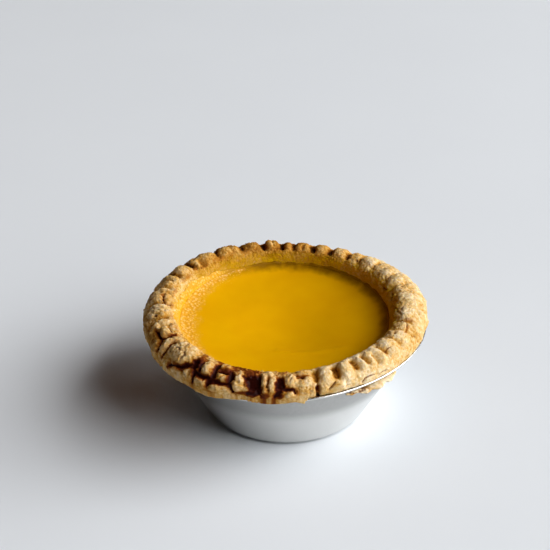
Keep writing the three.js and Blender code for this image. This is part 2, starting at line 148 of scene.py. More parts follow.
# Deep seams between broken lumps, with baked sugar in them: half width, depth, line.
SUGARED_SEAMS = (
    (0.25, 1.1, ((199.5, 10.6), (202, 10), (205, 10.1), (207.6, 9.9), (208.6, 8.8), (209.6, 7))),
    (0.21, 1.0, ((208.4, 9.8), (208.6, 11.2), (209.4, 12.8))),
    (0.21, 1.05, ((215, 7.6), (213.8, 9), (214, 11), (213.6, 13.2))),
    (0.21, 1.05, ((219.2, 14.2), (220.4, 13), (223.2, 12.5), (226.2, 11.9), (228.6, 10.8),
                  (230.4, 9.6))),
    (0.61, 1.25, ((230.6, 8.2), (231.4, 9.8), (232.2, 10.8))),
    (0.23, 1.15, ((232.4, 11), (232.8, 12.8), (233.2, 14.8))),
    (0.26, 1.2, ((232.4, 10.9), (235, 11.6), (238, 11.5), (240.8, 11.2))),
    (0.17, 0.95, ((234.2, 7.8), (234, 9.4), (234.6, 11))),
    (0.33, 1.25, ((239.6, 5.6), (240.6, 7.4), (241, 9.4), (240.8, 11.4))),
    (0.22, 1.1, ((240.8, 11.4), (239.8, 12.8), (239.6, 13.6))),
    (0.23, 1.15, ((240.8, 11.4), (243.6, 12), (246.4, 11.9), (248.4, 11.4))),
    (0.17, 0.95, ((241.4, 8.9), (243.8, 8.8), (246.4, 8.9))),
    (0.31, 1.2, ((247.6, 8.6), (248.2, 10.2), (248.2, 11.8))),
    (0.19, 1.0, ((248.4, 11.6), (249.2, 13.2), (250.2, 14.4))),
    (0.25, 1.15, ((253.2, 9.4), (254.6, 9.9), (256, 10.6))),
    (1.08, 1.5, ((256.6, 9.2), (257.2, 11), (257, 12.6))),
    (0.28, 1.25, ((258.8, 7.2), (259.2, 9.5), (259.6, 13), (260.2, 14.6))),
    (0.18, 0.9, ((262.2, 8), (263, 9.6), (262.6, 11.4), (263.2, 12.8))),
    (0.56, 1.35, ((267.2, 7.6), (267.6, 9.6), (267.8, 12))),
    (0.29, 1.25, ((267.8, 12), (266.6, 13.4), (265.6, 14.8))),
    (0.25, 1.2, ((268.2, 11.7), (270.6, 11.8), (272.6, 11.7))),
    (0.16, 0.8, ((272.6, 11.7), (273.2, 12.6), (273.8, 13.6))),
    (0.13, 0.7, ((272.2, 7.2), (274.6, 7.6), (276.4, 8.4), (277.6, 9.4))),
    (0.13, 0.85, ((173, 7.3), (176.4, 7.1), (179.6, 6.7), (181.4, 5.9), (180.4, 4.2))),
)

# Wet brown glaze between and beside the seams: angle, place across, half length, half
# width, strength.
GLAZE_BLOTS = (
    (202, 10.2, 2.5, 0.9, 0.3), (209.5, 7.4, 0.8, 1.4, 0.5), (214.4, 10.6, 0.7, 2.4, 0.35),
    (224.5, 12.2, 2.6, 0.8, 0.35), (231.8, 8.8, 1.3, 1.8, 0.6), (231, 5.2, 0.9, 1.8, 0.3),
    (234.4, 11.6, 2.4, 0.9, 0.5), (240.7, 8, 0.9, 2.6, 0.55), (238.6, 3.6, 1.3, 2.2, 0.36),
    (246, 8, 2, 1.2, 0.42), (247.8, 10.6, 1, 1.4, 0.6), (247, 3.8, 2, 3.2, 0.36),
    (251.5, 4.6, 2.3, 3.4, 0.4), (255.4, 6.6, 2.1, 2.2, 0.48), (257.2, 10.8, 1.7, 3, 0.95),
    (254, 13.8, 2.2, 0.9, 0.42), (262, 14, 1.3, 1.1, 0.42), (262.8, 8.8, 0.6, 1.6, 0.36),
    (267.6, 10.4, 1.2, 2.6, 0.85), (267, 13.8, 1.2, 1.1, 0.55), (269, 4.6, 1.9, 2.6, 0.28),
    (271.8, 12, 0.9, 0.7, 0.5), (276.4, 8.4, 1.6, 0.6, 0.36), (280.8, 12, 0.5, 1.6, 0.26),
    (343.6, 6.6, 0.5, 0.8, 0.34), (344.6, 8.6, 0.7, 1.5, 0.26), (337.4, 9.3, 1.7, 0.4, 0.28),
    (112, 4.8, 2.6, 0.9, 0.2), (126, 4.8, 2.4, 0.9, 0.22), (137, 4.6, 2.6, 0.9, 0.22),
    (143.4, 5.4, 1.1, 0.9, 0.3), (152, 4.6, 3.2, 0.8, 0.22), (168, 4.8, 2.8, 0.8, 0.22),
    (180, 4.7, 2.4, 0.7, 0.2), (192, 4.7, 2.4, 0.7, 0.18), (203, 5, 2, 0.7, 0.18),
    (257.4, 13.8, 2.1, 1.1, 0.95), (241, 14.8, 1.5, 0.7, 0.28), (261, 14.8, 1.4, 0.9, 0.52),
)

# Dry cracks in the baked crust: half width, depth, line.
DRY_CRACKS = (
    (0.14, 0.45, ((334.5, 10), (338.5, 9), (342, 8.2), (344, 6.8), (344.6, 4.8))),
    (0.16, 0.35, ((343.5, 6.6), (344, 8.2), (345, 9.8))),
    (0.12, 0.3, ((346.6, 6), (352, 5), (359, 3.8))),
    (0.16, 0.45, ((301, 15), (302.8, 13.6), (305, 13.3), (308.6, 13.5))),
    (0.12, 0.7, ((286.9, 14), (288.4, 12.9), (290.2, 11.6))),
    (0.46, 1.6, ((282.7, 11.6), (282.5, 13.4), (282.4, 15.6))),
    (0.16, 0.45, ((317.8, 9.9), (319.6, 9.3), (321.6, 9.3))),
    (0.16, 0.45, ((206.9, 6.9), (204.2, 6.7), (201.6, 7))),
    (0.15, 0.4, ((217.6, 9), (219.6, 8.4), (221, 9.2))),
    (0.15, 0.4, ((223.6, 8.6), (224.8, 9.4), (224.6, 10.8))),
    (0.15, 0.4, ((218.8, 5.8), (220.6, 6.6), (221.4, 7.8))),
    (0.18, 0.55, ((139, 5.2), (139.9, 4.2))),
    (0.18, 0.6, ((141, 6.4), (142.2, 5.2), (143.2, 4.6))),
    (0.18, 0.5, ((7.5, 3), (10, 3.8), (12.4, 4.2))),
    (0.18, 0.5, ((17.4, 3.4), (19.8, 3.2), (22.8, 3.1))),
    (0.18, 0.45, ((11.6, 7.2), (13, 6.8), (14.4, 7.4))),
    (0.15, 0.35, ((309, 14.6), (311.5, 13.9), (314.5, 14.2))),
    (0.15, 0.4, ((183.4, 9.8), (185, 8.8), (185.6, 7.2))),
)

# Single pits: angle, place across, radius, depth.
DOUGH_PITS = (
    (49.6, 5.8, 0.6, 0.6), (2.4, 8.7, 0.45, 0.4), (361.6, 8.6, 0.4, 0.3),
    (186.2, 9.6, 0.6, 0.5), (190.6, 9.2, 0.6, 0.6), (188.6, 6.5, 0.45, 0.4),
    (201.8, 9.9, 0.5, 0.5), (223.6, 8.8, 0.5, 0.4), (217.2, 10.6, 0.5, 0.4),
    (302, 8.6, 0.6, 0.5), (318.4, 9.6, 0.7, 0.6), (331, 7.2, 0.65, 0.6),
    (295, 13.8, 0.45, 0.4), (326.6, 12.4, 0.5, 0.3), (331.4, 12.3, 0.55, 0.3),
    (338.6, 12, 0.75, 0.5), (338.4, 13.8, 0.5, 0.6), (353, 8, 0.8, 0.25),
    (271.9, 9.2, 0.4, 0.4), (245, 10, 0.35, 0.35), (278.6, 10.4, 0.4, 0.35),
    (236.2, 8.4, 0.4, 0.35), (251.2, 11.4, 0.4, 0.3), (279.4, 13.2, 0.4, 0.35),
)

# Lumps that stand proud: angle, place across, half length, half width, rise.
PROUD_LUMPS = (
    (97, 7.2, 2.1, 2.8, 0.85), (119.5, 6.8, 2.2, 2.2, 0.4), (132.8, 7.4, 2.2, 2.6, 0.4),
    (148.6, 7.6, 3, 2.6, 0.4), (106.4, 7.2, 1.8, 2.6, 0.25), (169.4, 7.4, 0.7, 2.4, 0.45),
    (176.2, 9.2, 1.9, 1.6, 0.45), (187.6, 8.2, 3.4, 3.2, 0.4), (196.9, 8, 0.9, 3, 0.55),
    (203.6, 8.3, 2.2, 1.3, 0.45), (211.7, 9.6, 1, 3, 0.4), (221.8, 7.8, 4.2, 4, 0.6),
    (236.9, 8.7, 1.6, 2.2, 0.55), (244.2, 6.4, 1.6, 1.6, 0.4), (244.8, 10.2, 1.4, 1.1, 0.5),
    (236.2, 13.2, 2.1, 1.3, 0.4), (244.2, 13.4, 2.3, 1, 0.35), (251.1, 11.4, 1.5, 2.3, 0.6),
    (254.6, 14.9, 0.9, 0.5, 0.25), (262.9, 9.5, 2, 4.4, 0.45), (271.9, 9, 1.6, 2.1, 0.55),
    (271.6, 13.6, 1.5, 1.3, 0.45), (278.8, 11.6, 2.4, 3.4, 0.5), (277.4, 5.2, 1.6, 2.4, 0.3),
    (286.4, 8.8, 2.2, 4.4, 0.45), (285.6, 13.4, 1.3, 1.2, 0.35), (292, 13.6, 1.6, 1.2, 0.35),
    (296.6, 8.8, 2, 4.2, 0.35), (304, 8.4, 1.4, 3, 0.3), (309.4, 8, 1.2, 2.6, 0.2),
    (314.8, 9.4, 1.5, 3.4, 0.3), (322.4, 7.6, 2.4, 3.8, 0.3), (331.4, 8, 2.4, 4, 0.25),
    (349.5, 8.4, 3.4, 3.8, 0.35), (2.6, 7.6, 3.6, 3.4, 0.35), (12.5, 5.2, 1.8, 1.8, 0.2),
    (20, 6.6, 2.2, 2.6, 0.2), (31, 6.6, 2.6, 2.6, 0.2), (43.5, 6.8, 2.4, 2.4, 0.25),
    (61.5, 7, 2.2, 2.4, 0.25), (71.5, 7.2, 2.2, 2.4, 0.25), (160.8, 7.2, 2.8, 2.4, 0.25),
)

# Where the lip sags past the flange: angle, half length, drop.
SAGGING_LOBES = ((278.5, 3, 1.3), (264, 7, 0.85), (240, 9, 0.75), (214, 12, 0.75), (333, 7, 0.2))
LIP_GAP = 0.12
CRIMP_TOP = 0.25
SEAM_SHOULDER = 0.9
CRACK_SHOULDER = 0.45
SUGAR_LEVEL = -0.36
SMEAR_STRENGTH = 0.34

# Unevenness over the crust: size of its lumps in mm, seed and layers.
CRUST_NOISE = {
    "sway_along": (1.7, 11, 3), "sway_across": (1.7, 29, 3), "swell": (3.6, 61, 2),
    "crags": (1.3, 83, 2), "sugar_waves": (1.2, 19, 3), "wet_edge": (0.8, 67, 2),
    "wetness": (1.5, 73, 3), "blots": (1.4, 79, 3), "patches": (4.5, 101, 3),
}
SPATTER_NOISE = (1.7, 89, 3)

# Crumbs and knobs of dough: their sizes, how far knobs are bent out of shape and over what
# length, and what each kind of small relief rises or sinks, all in mm.
CRUMB_SIZE = 1.1
SMALL_CRUMB_SIZE = 0.62
KNOB_SIZE = 2.7
BEND_SIZE = 1.9
BEND_REACH = 0.9
SWELL_RISE = 0.25
KNOB_RISE = 0.75
CREASE_DEPTH = 0.10
CRAG_RISE = 0.50
CRUMB_RISE = 0.26
SMALL_CRUMB_RISE = (0.09, 0.25)
PINHOLE_DEPTH = 0.18
GRAIN_LIMITS = (-0.7, 0.55)
NORMAL_REACH = 0.35

# How far the crest leans in over the custard, in mm, every 15 degrees.
CREST_LEAN = (
    0.4, 0.5, 0.7, 0.9, 0.8, 0.6, 0.5, 0.4, 0.4, 0.4, 0.4, 0.4,
    0.4, 0.3, 0.1, -0.2, -0.5, -0.6, -0.6, -0.4, 0.0, 0.2, 0.0, -0.1,
)

# How brown the crust has baked and how sticky dark its crevices are, every 15 degrees.
TOAST_ROUND = (
    0.19, 0.16, 0.14, 0.17, 0.32, 0.48, 0.54, 0.52, 0.50, 0.38, 0.28, 0.24,
    0.24, 0.26, 0.26, 0.26, 0.28, 0.28, 0.23, 0.17, 0.14, 0.15, 0.18, 0.20,
)
SYRUP_ROUND = (
    0.0, 0.0, 0.0, 0.0, 0.0, 0.0, 0.0, 0.0, 0.0, 0.0, 0.0, 0.2,
    0.35, 0.45, 0.55, 0.95, 1.0, 1.0, 0.85, 0.2, 0.0, 0.0, 0.0, 0.0,
)
# How much each feature browns the crust, or leaves it paler where below 0. The pinches,
# pinholes, hollows and creases darken recesses with painted shade, the proud lumps are paler
# with painted light on their tops, and the wall share is painted shade on the inner wall
# towards +X.
TOAST_SHARES = {
    "patches": 0.14, "pinches": 0.55, "pinholes": 0.25, "painted_hollow_shade": 0.30, "creases": 0.10,
    "painted_light_on_lumps": -0.18, "painted_wall_shade": 0.15, "lip": 0.05,
}
# How crumbly the surface is, from finger-smooth to broken, every 15 degrees.
CRUMBLE_ROUND = (
    0.62, 0.62, 0.62, 0.58, 0.52, 0.50, 0.46, 0.46, 0.50, 0.52, 0.56, 0.62,
    0.66, 0.72, 0.75, 0.75, 0.75, 0.75, 0.70, 0.50, 0.40, 0.44, 0.56, 0.64,
)
# Orange stain of custard on the inner wall: strength and how far over the rim it goes.
STAIN_ROUND = (
    1.5, 1.5, 1.5, 1.4, 1.2, 1.1, 1.1, 1.0, 0.7, 0.45, 0.5, 0.8,
    1.0, 0.95, 0.5, 0.6, 0.85, 0.9, 0.6, 0.3, 0.5, 1.0, 1.2, 1.3,
)
STAIN_REACH = (
    5.4, 5.2, 5.0, 4.6, 4.2, 4.0, 3.8, 3.8, 4.2, 4.6, 4.6, 4.4,
    4.2, 3.8, 2.6, 3.0, 4.4, 5.0, 3.2, 1.8, 2.0, 2.8, 4.2, 5.0,
)

# ---- the custard -------------------------------------------------------------------
CUSTARD_FLOOR_GAP = 0.35
CUSTARD_RIM_HEIGHT = 25.3
CUSTARD_EDGE_DROP = 1.8
CUSTARD_EDGE_DROP_SHIFT = 0.6
CUSTARD_EDGE_SHARPNESS = 8
CUSTARD_BOWL = {"x": -1.0, "y": 0.0, "radius": 13.5, "depth": 2.8}
CUSTARD_STEPS = 480
CUSTARD_RINGS = 110
FILM_ROWS = 16
CUSTARD_HIDDEN_ROWS = (8.8, 17.6)
CUSTARD_HIDDEN_TOP = 23.4
CUSTARD_DIMPLE = {"x": 5.5, "y": -7.5, "radius": 7.0, "depth": 0.35}
CUSTARD_FILM = (
    0.5, 0.5, 0.5, 0.5, 0.5, 0.5, 0.5, 0.5, 0.6, 1.2, 2.2, 2.8,
    3.2, 3.4, 2.8, 2.0, 1.3, 0.8, 0.6, 0.5, 0.5, 0.5, 0.5, 0.5,
)

# How far in from the crust the pale film of dried bubbles reaches, every 15 degrees.
FROTH_REACH = (
    0.0, 0.0, 0.0, 0.0, 0.0, 0.0, 0.0, 0.4, 1.2, 3.2, 4.8, 5.8,
    6.4, 5.6, 4.2, 2.8, 1.6, 0.8, 0.3, 0.0, 0.0, 0.0, 0.0, 0.0,
)
# How dark the skin is along the crust, every 15 degrees, and how far in that goes: painted
# shade from the crust rim, strongest towards +X, with some browning of the skin.
RIM_SHADE_AND_BROWNING_ROUND = (
    0.80, 0.85, 0.90, 0.95, 1.00, 1.00, 1.00, 0.95, 0.60, 0.15, 0.00, 0.00,
    0.00, 0.00, 0.00, 0.00, 0.10, 0.15, 0.15, 0.10, 0.15, 0.30, 0.50, 0.70,
)
RIM_SHADE_AND_BROWNING_WIDTH = 2.8
# A low fold in the skin: a line of x, y in mm, its half width and its rise.
SKIN_FOLD = ((-2.0, -10.6), (1.0, -11.5), (7.0, -11.7), (14.0, -10.5))
SKIN_FOLD_WIDTH = 1.2
SKIN_FOLD_RISE = 0.14
# Unevenness of the skin and the film, as size in mm, seed and layers, and the film's
# bubbles, as size and seed.
SKIN_NOISE = {
    "slow_ripple": (8.0, 401, 2), "quick_ripple": (2.5, 421, 2), "uneven_edge": (2.2, 451, 3),
}
FILM_NOISE = (2.4, 317, 3)
FILM_BUBBLES = (0.8, 303)
SKIN_BUBBLES = (0.9, 307)

# ---- the scrap of pastry under the flange ------------------------------------------
SCRAP_FROM = 294.5
SCRAP_TO = 320.5
SCRAP_INNER_RADIUS = 34.0
SCRAP_REACH = 3.0
SCRAP_THICKNESS = 1.5
SCRAP_STEPS = 150
SCRAP_AROUND = 40
SCRAP_NOISE = {"lumps": (2.6, 501, 3), "toast": (2.0, 531, 2), "burnt": (1.3, 541, 2)}

# ---- finishes, light and view ------------------------------------------------------
# Mottling of the crust: size of each pattern in mm and how strongly it shows. The grain is
# coarser than real flour, so that it shows, and its relief is in mm too.
CRUST_MOTTLING = {"patch": (3.2, 0.45), "fleck": (0.8, 0.48), "grain": (0.35, 0.42)}
CRUST_GRAIN_RELIEF = 0.22
DRAW_MARK_STRETCH = (1.0, 1.0, 0.06)
# Sizes of the patterns in the other finishes, and the heights over which the band of
# painted shade on the tin's upper wall starts and ends, in mm.
CUSTARD_CLOUD_SIZE = 9.0
DRIED_BUBBLE_SIZE = 0.75
SPECK_SIZE = 0.4
DRAW_MARK_SIZE = 0.5
OVEN_HAZE_SIZE = 7.0
TABLE_CLOUD_SIZE = 60.0
SHADE_BAND_STARTS = (10.6, 15.4)
SHADE_BAND_ENDS = (22.6, 23.2)

# Soft windows: azimuth and elevation in degrees, width and height in m, watts and tint.
WINDOWS = {
    "tall_window": (-17.0, 38.5, 3.6, 2.2, 160.0, "#FFFFFF"),
    "low_window": (14.0, 19.0, 2.3, 1.0, 36.0, "#FFFFFF"),
    "warm_bounce": (200.0, 70.0, 1.8, 1.8, 3.2, "#FFA65E"),
}
WINDOW_DISTANCE = 3.0
ROOM_STRENGTH = 0.004
TABLE_WIDTH = 6.0

VIEW_ELEVATION = 34.0
VIEW_DISTANCE = 0.5
FRAME_WIDTH = 550.0
FOCAL_PIXELS = 1915.0
FOOT_PIXEL = (286.0, 400.0)
SENSOR_WIDTH = 36.0


# ---- small sums --------------------------------------------------------------------

def ease_step(low, high, value):
    share = np.clip((value - low) / (high - low), 0.0, 1.0)
    return share * share * (3.0 - 2.0 * share)


def mix(start, end, share):
    return start + (end - start) * share


def within(begins, full, fades, ends, value):
    """A share that eases up to 1 between two values and back down to 0 between two more."""
    return ease_step(begins, full, value) * ease_step(ends, fades, value)


def turn_between(angle, start):
    return (angle - start + 180.0) % 360.0 - 180.0


def all_round(steps):
    """Angles in degrees, evenly spaced once round."""
    return np.arange(steps) * 360.0 / steps


def turned(angle, radius, height):
    """Points in mm at angles round the axis, radii and heights."""
    turn = np.radians(angle)
    return np.stack([radius * np.cos(turn), radius * np.sin(turn), height + 0.0 * turn], axis=1)


def nearest_on_line(x, y, points):
    """Distance to a bent line, and how far along it the nearest place is, from 0 to 1."""
    sides = [(x1 - x0, y1 - y0) for (x0, y0), (x1, y1) in zip(points, points[1:])]
    lengths = [math.hypot(dx, dy) for dx, dy in sides]
    nearest = np.full(x.shape, np.inf)
    along = np.zeros(x.shape)
    passed = 0.0
    for (x0, y0), (dx, dy), length in zip(points, sides, lengths):
        share = np.clip(((x - x0) * dx + (y - y0) * dy) / length ** 2, 0.0, 1.0)
        away = np.hypot(x - x0 - dx * share, y - y0 - dy * share)
        closer = away < nearest
        nearest = np.where(closer, away, nearest)
        along = np.where(closer, (passed + share * length) / sum(lengths), along)
        passed += length
    return nearest, along


def at_rim(table, angle):
    """A smooth closed curve through values spaced evenly round the rim."""
    values = np.array(table)
    place = (angle % 360.0) * len(values) / 360.0
    low = np.floor(place).astype(int)
    share = ease_step(0.0, 1.0, place - low)
    return mix(values[low % len(values)], values[(low + 1) % len(values)], share)


# ---- unevenness --------------------------------------------------------------------

def lattice_draw(x, y, z, seed):
    """A repeatable draw from 0 to 1 for each whole-number place."""
    with np.errstate(over="ignore"):
        mark = x.astype(np.uint32) * np.uint32(374761393)
        mark = mark + y.astype(np.uint32) * np.uint32(668265263)
        mark = mark + z.astype(np.uint32) * np.uint32(2246822519)
        mark = mark + np.uint32((seed * 3266489917) % 4294967296)
        mark = (mark ^ (mark >> np.uint32(13))) * np.uint32(1274126177)
        mark = mark ^ (mark >> np.uint32(16))
    return mark.astype(np.float64) / 4294967295.0


def soft_noise(points, size, seed):
    """Smooth unevenness from -1 to 1, with lumps about size mm long."""
    place = points / size
    cell = np.floor(place).astype(np.int64)
    share = place - cell
    share = share ** 3 * (share * (share * 6.0 - 15.0) + 10.0)
    total = np.zeros(len(points))
    for dx, dy, dz in itertools.product((0, 1), repeat=3):
        weight = np.abs(1 - dx - share[:, 0])
        weight = weight * np.abs(1 - dy - share[:, 1])
        weight = weight * np.abs(1 - dz - share[:, 2])
        total += weight * lattice_draw(cell[:, 0] + dx, cell[:, 1] + dy, cell[:, 2] + dz, seed)
    return total * 2.0 - 1.0


def layered_noise(points, size, seed, layers=3):
    total = np.zeros(len(points))
    whole = 0.0
    for layer in range(layers):
        tilted = points @ np.array(Euler((0.5 + layer, 0.9 * layer, 0.3)).to_matrix())
        strength = 0.55 ** layer
        total += soft_noise(tilted, size / 2.1 ** layer, seed + layer * 17) * strength
        whole += strength
    return total / whole


def crumb_cells(points, size, seed):
    """Distances to the nearest two crumb centres, in crumb sizes, and a draw per crumb."""
    place = points / size
    cell = np.floor(place).astype(np.int64)
    nearest = np.full(len(points), np.inf)
    second = np.full(len(points), np.inf)
    draw = np.zeros(len(points))
    for step in itertools.product((-1, 0, 1), repeat=3):
        corner = [cell[:, axis] + step[axis] for axis in range(3)]
        away = np.zeros(len(points))
        for axis in range(3):
            centre = corner[axis] + lattice_draw(*corner, seed + axis)
            away += (centre - place[:, axis]) ** 2
        away = np.sqrt(away)
        closer = away < nearest
        second = np.where(closer, nearest, np.minimum(second, away))
        draw = np.where(closer, lattice_draw(*corner, seed + 7), draw)
        nearest = np.where(closer, away, nearest)
    return nearest, second, draw


# ---- shape of the tin --------------------------------------------------------------

WALL_RUN = TIN_MOUTH_RADIUS - TIN_FOOT_RADIUS
WALL_RISE = TIN_MOUTH_HEIGHT - TIN_CORNER_RADIUS
WALL_TILT = math.atan2(WALL_RISE, WALL_RUN) - math.acos(
    TIN_CORNER_RADIUS / math.hypot(WALL_RUN, WALL_RISE)
)
CORNER_END_HEIGHT = TIN_CORNER_RADIUS * (1.0 + math.sin(WALL_TILT))
WALL_START_RADIUS = TIN_FOOT_RADIUS + TIN_CORNER_RADIUS * math.cos(WALL_TILT)
WALL_LEAN = (TIN_MOUTH_RADIUS - WALL_START_RADIUS) / (TIN_MOUTH_HEIGHT - CORNER_END_HEIGHT)


def wall_radius(height, set_in=0.0):
    """Radius of the tin's outer wall at a height, set in by a distance from it."""
    if height < CORNER_END_HEIGHT:
        reach = TIN_CORNER_RADIUS - set_in
        drop = min(reach, TIN_CORNER_RADIUS - height)
        return TIN_FOOT_RADIUS + math.sqrt(max(0.0, reach * reach - drop * drop))
    outer = WALL_START_RADIUS + (height - CORNER_END_HEIGHT) * WALL_LEAN
    return outer - set_in / math.cos(math.atan(WALL_LEAN))


def saddle(angle):
    return np.cos(2.0 * np.radians(angle - TIN_SADDLE_ANGLE))


def warped(angle, radius, height):
    """The thin tin has gone slightly oval, and its flange stands in a slight saddle."""
    share = ease_step(TIN_WARP_STARTS_AT, TIN_MOUTH_HEIGHT, height) * saddle(angle)
    return radius - TIN_OVALNESS * share, height + TIN_SADDLE_LIFT * share


def flange_top_at(angle):
    return TIN_FLANGE_HEIGHT + TIN_SADDLE_LIFT * saddle(angle)


# ---- shape of the pastry rim -------------------------------------------------------

SECTION_LENGTHS = np.concatenate(
    [[0.0], np.cumsum(np.hypot(*np.diff(RIM_SECTION, axis=0).T))]
)
RIM_WIDTH = SECTION_LENGTHS[-1]


def mean_rim(across):
    """Smooth curve through the stations of the rim's section."""
    place = np.clip(across, 0.0, RIM_WIDTH)
    i = np.clip(np.searchsorted(SECTION_LENGTHS, place) - 1, 0, len(RIM_SECTION) - 2)
    share = (place - SECTION_LENGTHS[i]) / (SECTION_LENGTHS[i + 1] - SECTION_LENGTHS[i])
    share = share[..., None]
    before = RIM_SECTION[np.maximum(0, i - 1)]
    start = RIM_SECTION[i]
    end = RIM_SECTION[i + 1]
    after = RIM_SECTION[np.minimum(len(RIM_SECTION) - 1, i + 2)]
    curve = 2 * start + (end - before) * share
    curve = curve + (2 * before - 5 * start + 4 * end - after) * share ** 2
    curve = curve + (3 * start - before - 3 * end + after) * share ** 3
    return 0.5 * curve[..., 0], 0.5 * curve[..., 1]


def custard_line(angle):
    """The custard fills the case a little nearer to the -X side, in a slight oval."""
    turn = np.radians(angle)
    shift = CUSTARD_LINE_SHIFT * np.cos(turn)
    return CUSTARD_LINE_RADIUS + shift - CUSTARD_LINE_OVALNESS * np.cos(2.0 * turn)


def plain_rim(angle, across):
    """The rim before crimping, drawn out to the local reach and crest."""
    mean_radius, mean_height = mean_rim(np.asarray(across, dtype=float))
    line = custard_line(angle)
    out = np.maximum(0.0, mean_radius - RIM_MEAN_LINE)
    stretch = (at_rim(RIM_REACH, angle) - line) / (RIM_MEAN_REACH - RIM_MEAN_LINE)
    lift = (at_rim(RIM_CREST, angle) - RIM_MEAN_LIP) / (RIM_MEAN_CREST - RIM_MEAN_LIP)
    share = ease_step(RIM_MEAN_LINE, RIM_MEAN_LINE + RIM_LIFT_RUN, mean_radius)
    lifted = RIM_MEAN_LIP + (mean_height - RIM_MEAN_LIP) * lift
    leaning = at_rim(CREST_LEAN, angle) * within(0.0, 4.2, 6.0, 11.0, across)
    radius = line + out * stretch - leaning
    return radius, mix(mean_height, lifted, share) + RISE_WHERE_LEANING * leaning


def rim_normal(angle, low, high):
    """The way out of the plain rim, outwards and up, between two places across."""
    low_radius, low_height = plain_rim(angle, low)
    high_radius, high_height = plain_rim(angle, high)
    out, up = low_height - high_height, high_radius - low_radius
    length = np.hypot(out, up)
    return out / length, up / length


def along_crust(angle, across, points):
    """nearest_on_line for a line over the crust, given as angles and places across."""
    first = points[0][0]
    line = [(turn_between(a, first) * MM_PER_DEGREE, place) for a, place in points]
    return nearest_on_line(turn_between(angle, first) * MM_PER_DEGREE, across, line)


def shoulder(away):
    """Depth share of a crease between two rounded lumps, from 1 in it to 0 at away = 1."""
    inward = 1.0 - np.clip(away, 0.0, 1.0)
    return 1.0 - np.sqrt(np.maximum(0.0, 1.0 - inward ** 2))


def spot_distance(angle, across, where, place, half_length, half_width):
    """Distance from the middle of a spot, where its edge is at 1."""
    along = turn_between(angle, where) * MM_PER_DEGREE
    return np.hypot(along / half_length, (across - place) / half_width)


def pinch_depth(angle, across):
    depth = np.zeros_like(angle)
    for width, deep, points in PINCHES:
        away, along = along_crust(angle, across, points)
        soft = 0.45 * shoulder(away / width) + 0.55 * ease_step(1.0, 0.0, away / width)
        depth = np.maximum(depth, deep * within(0.0, 0.22, 0.72, 1.0, along) * soft)
    return depth


def seam_depth(angle, across, seams, shoulder_width):
    """A seam's flat-floored cut with rounded shoulders, how near the cut itself is, and a
    wide halo round it."""
    depth = np.zeros_like(angle)
    inside = np.zeros_like(angle)
    halo = np.zeros_like(angle)
    for half_width, deep, points in seams:
        away, along = along_crust(angle, across, points)
        half = half_width * mix(0.45, 1.0, within(0.0, 0.2, 0.8, 1.0, along))
        taper = mix(0.35, 1.0, within(0.0, 0.15, 0.85, 1.0, along))
        depth = np.maximum(depth, deep * taper * shoulder((away - half) / shoulder_width))
        inside = np.maximum(inside, ease_step(half + 0.40, half * 0.6, away))
        halo = np.maximum(halo, ease_step(half + 1.6, half * 0.4, away))
    return depth, inside, halo


def pit_depth(angle, across):
    depth = np.zeros_like(angle)
    for where, place, size, deep in DOUGH_PITS:
        away = spot_distance(angle, across, where, place, size, size)
        depth = np.maximum(depth, deep * ease_step(1.25, 0.15, away))
    return depth


def glaze_share(angle, across, wobble):
    share = np.zeros_like(angle)
    for *spot, strength in GLAZE_BLOTS:
        away = spot_distance(angle, across, *spot) + wobble
        share = np.maximum(share, strength * ease_step(1.45, 0.35, away))
    return share


def proud_rise(angle, across):
    rise = np.zeros_like(angle)
    for *spot, height in PROUD_LUMPS:
        away = spot_distance(angle, across, *spot)
        rise = np.maximum(rise, height * np.clip(1.0 - away ** 2.6, 0.0, 1.0))
    return rise


def crumbly_grain(plain, bent, rough, noise):
    """Height in mm of the crust's crumbs and knobs, and where its creases and pinholes are."""
    near, second, draw = crumb_cells(plain, CRUMB_SIZE, 5)
    crumbs = ease_step(0.0, 0.40, second - near) - 0.75 + 0.5 * (draw - 0.5)
    near, second, draw = crumb_cells(plain, SMALL_CRUMB_SIZE, 91)
    small_crumbs = ease_step(0.0, 0.45, second - near) - 0.7
    pinholes = ease_step(0.42, 0.1, near) * (draw > 0.88)
    near, second, draw = crumb_cells(bent, KNOB_SIZE, 137)
    knobs = (1.0 - near ** 2) * mix(0.6, 1.0, draw) - 0.45
    creases = ease_step(0.26, 0.0, second - near) * ease_step(0.2, 0.6, draw)
    crags = np.abs(noise["crags"]) - 0.22
    grain = noise["swell"] * SWELL_RISE
    grain = grain + (knobs * KNOB_RISE - creases * CREASE_DEPTH + crags * CRAG_RISE * rough) * rough
    grain = grain + crumbs * CRUMB_RISE * rough ** 1.5
    grain = grain + small_crumbs * mix(*SMALL_CRUMB_RISE, rough ** 2)
    return grain - pinholes * PINHOLE_DEPTH * (0.4 + rough), creases, pinholes


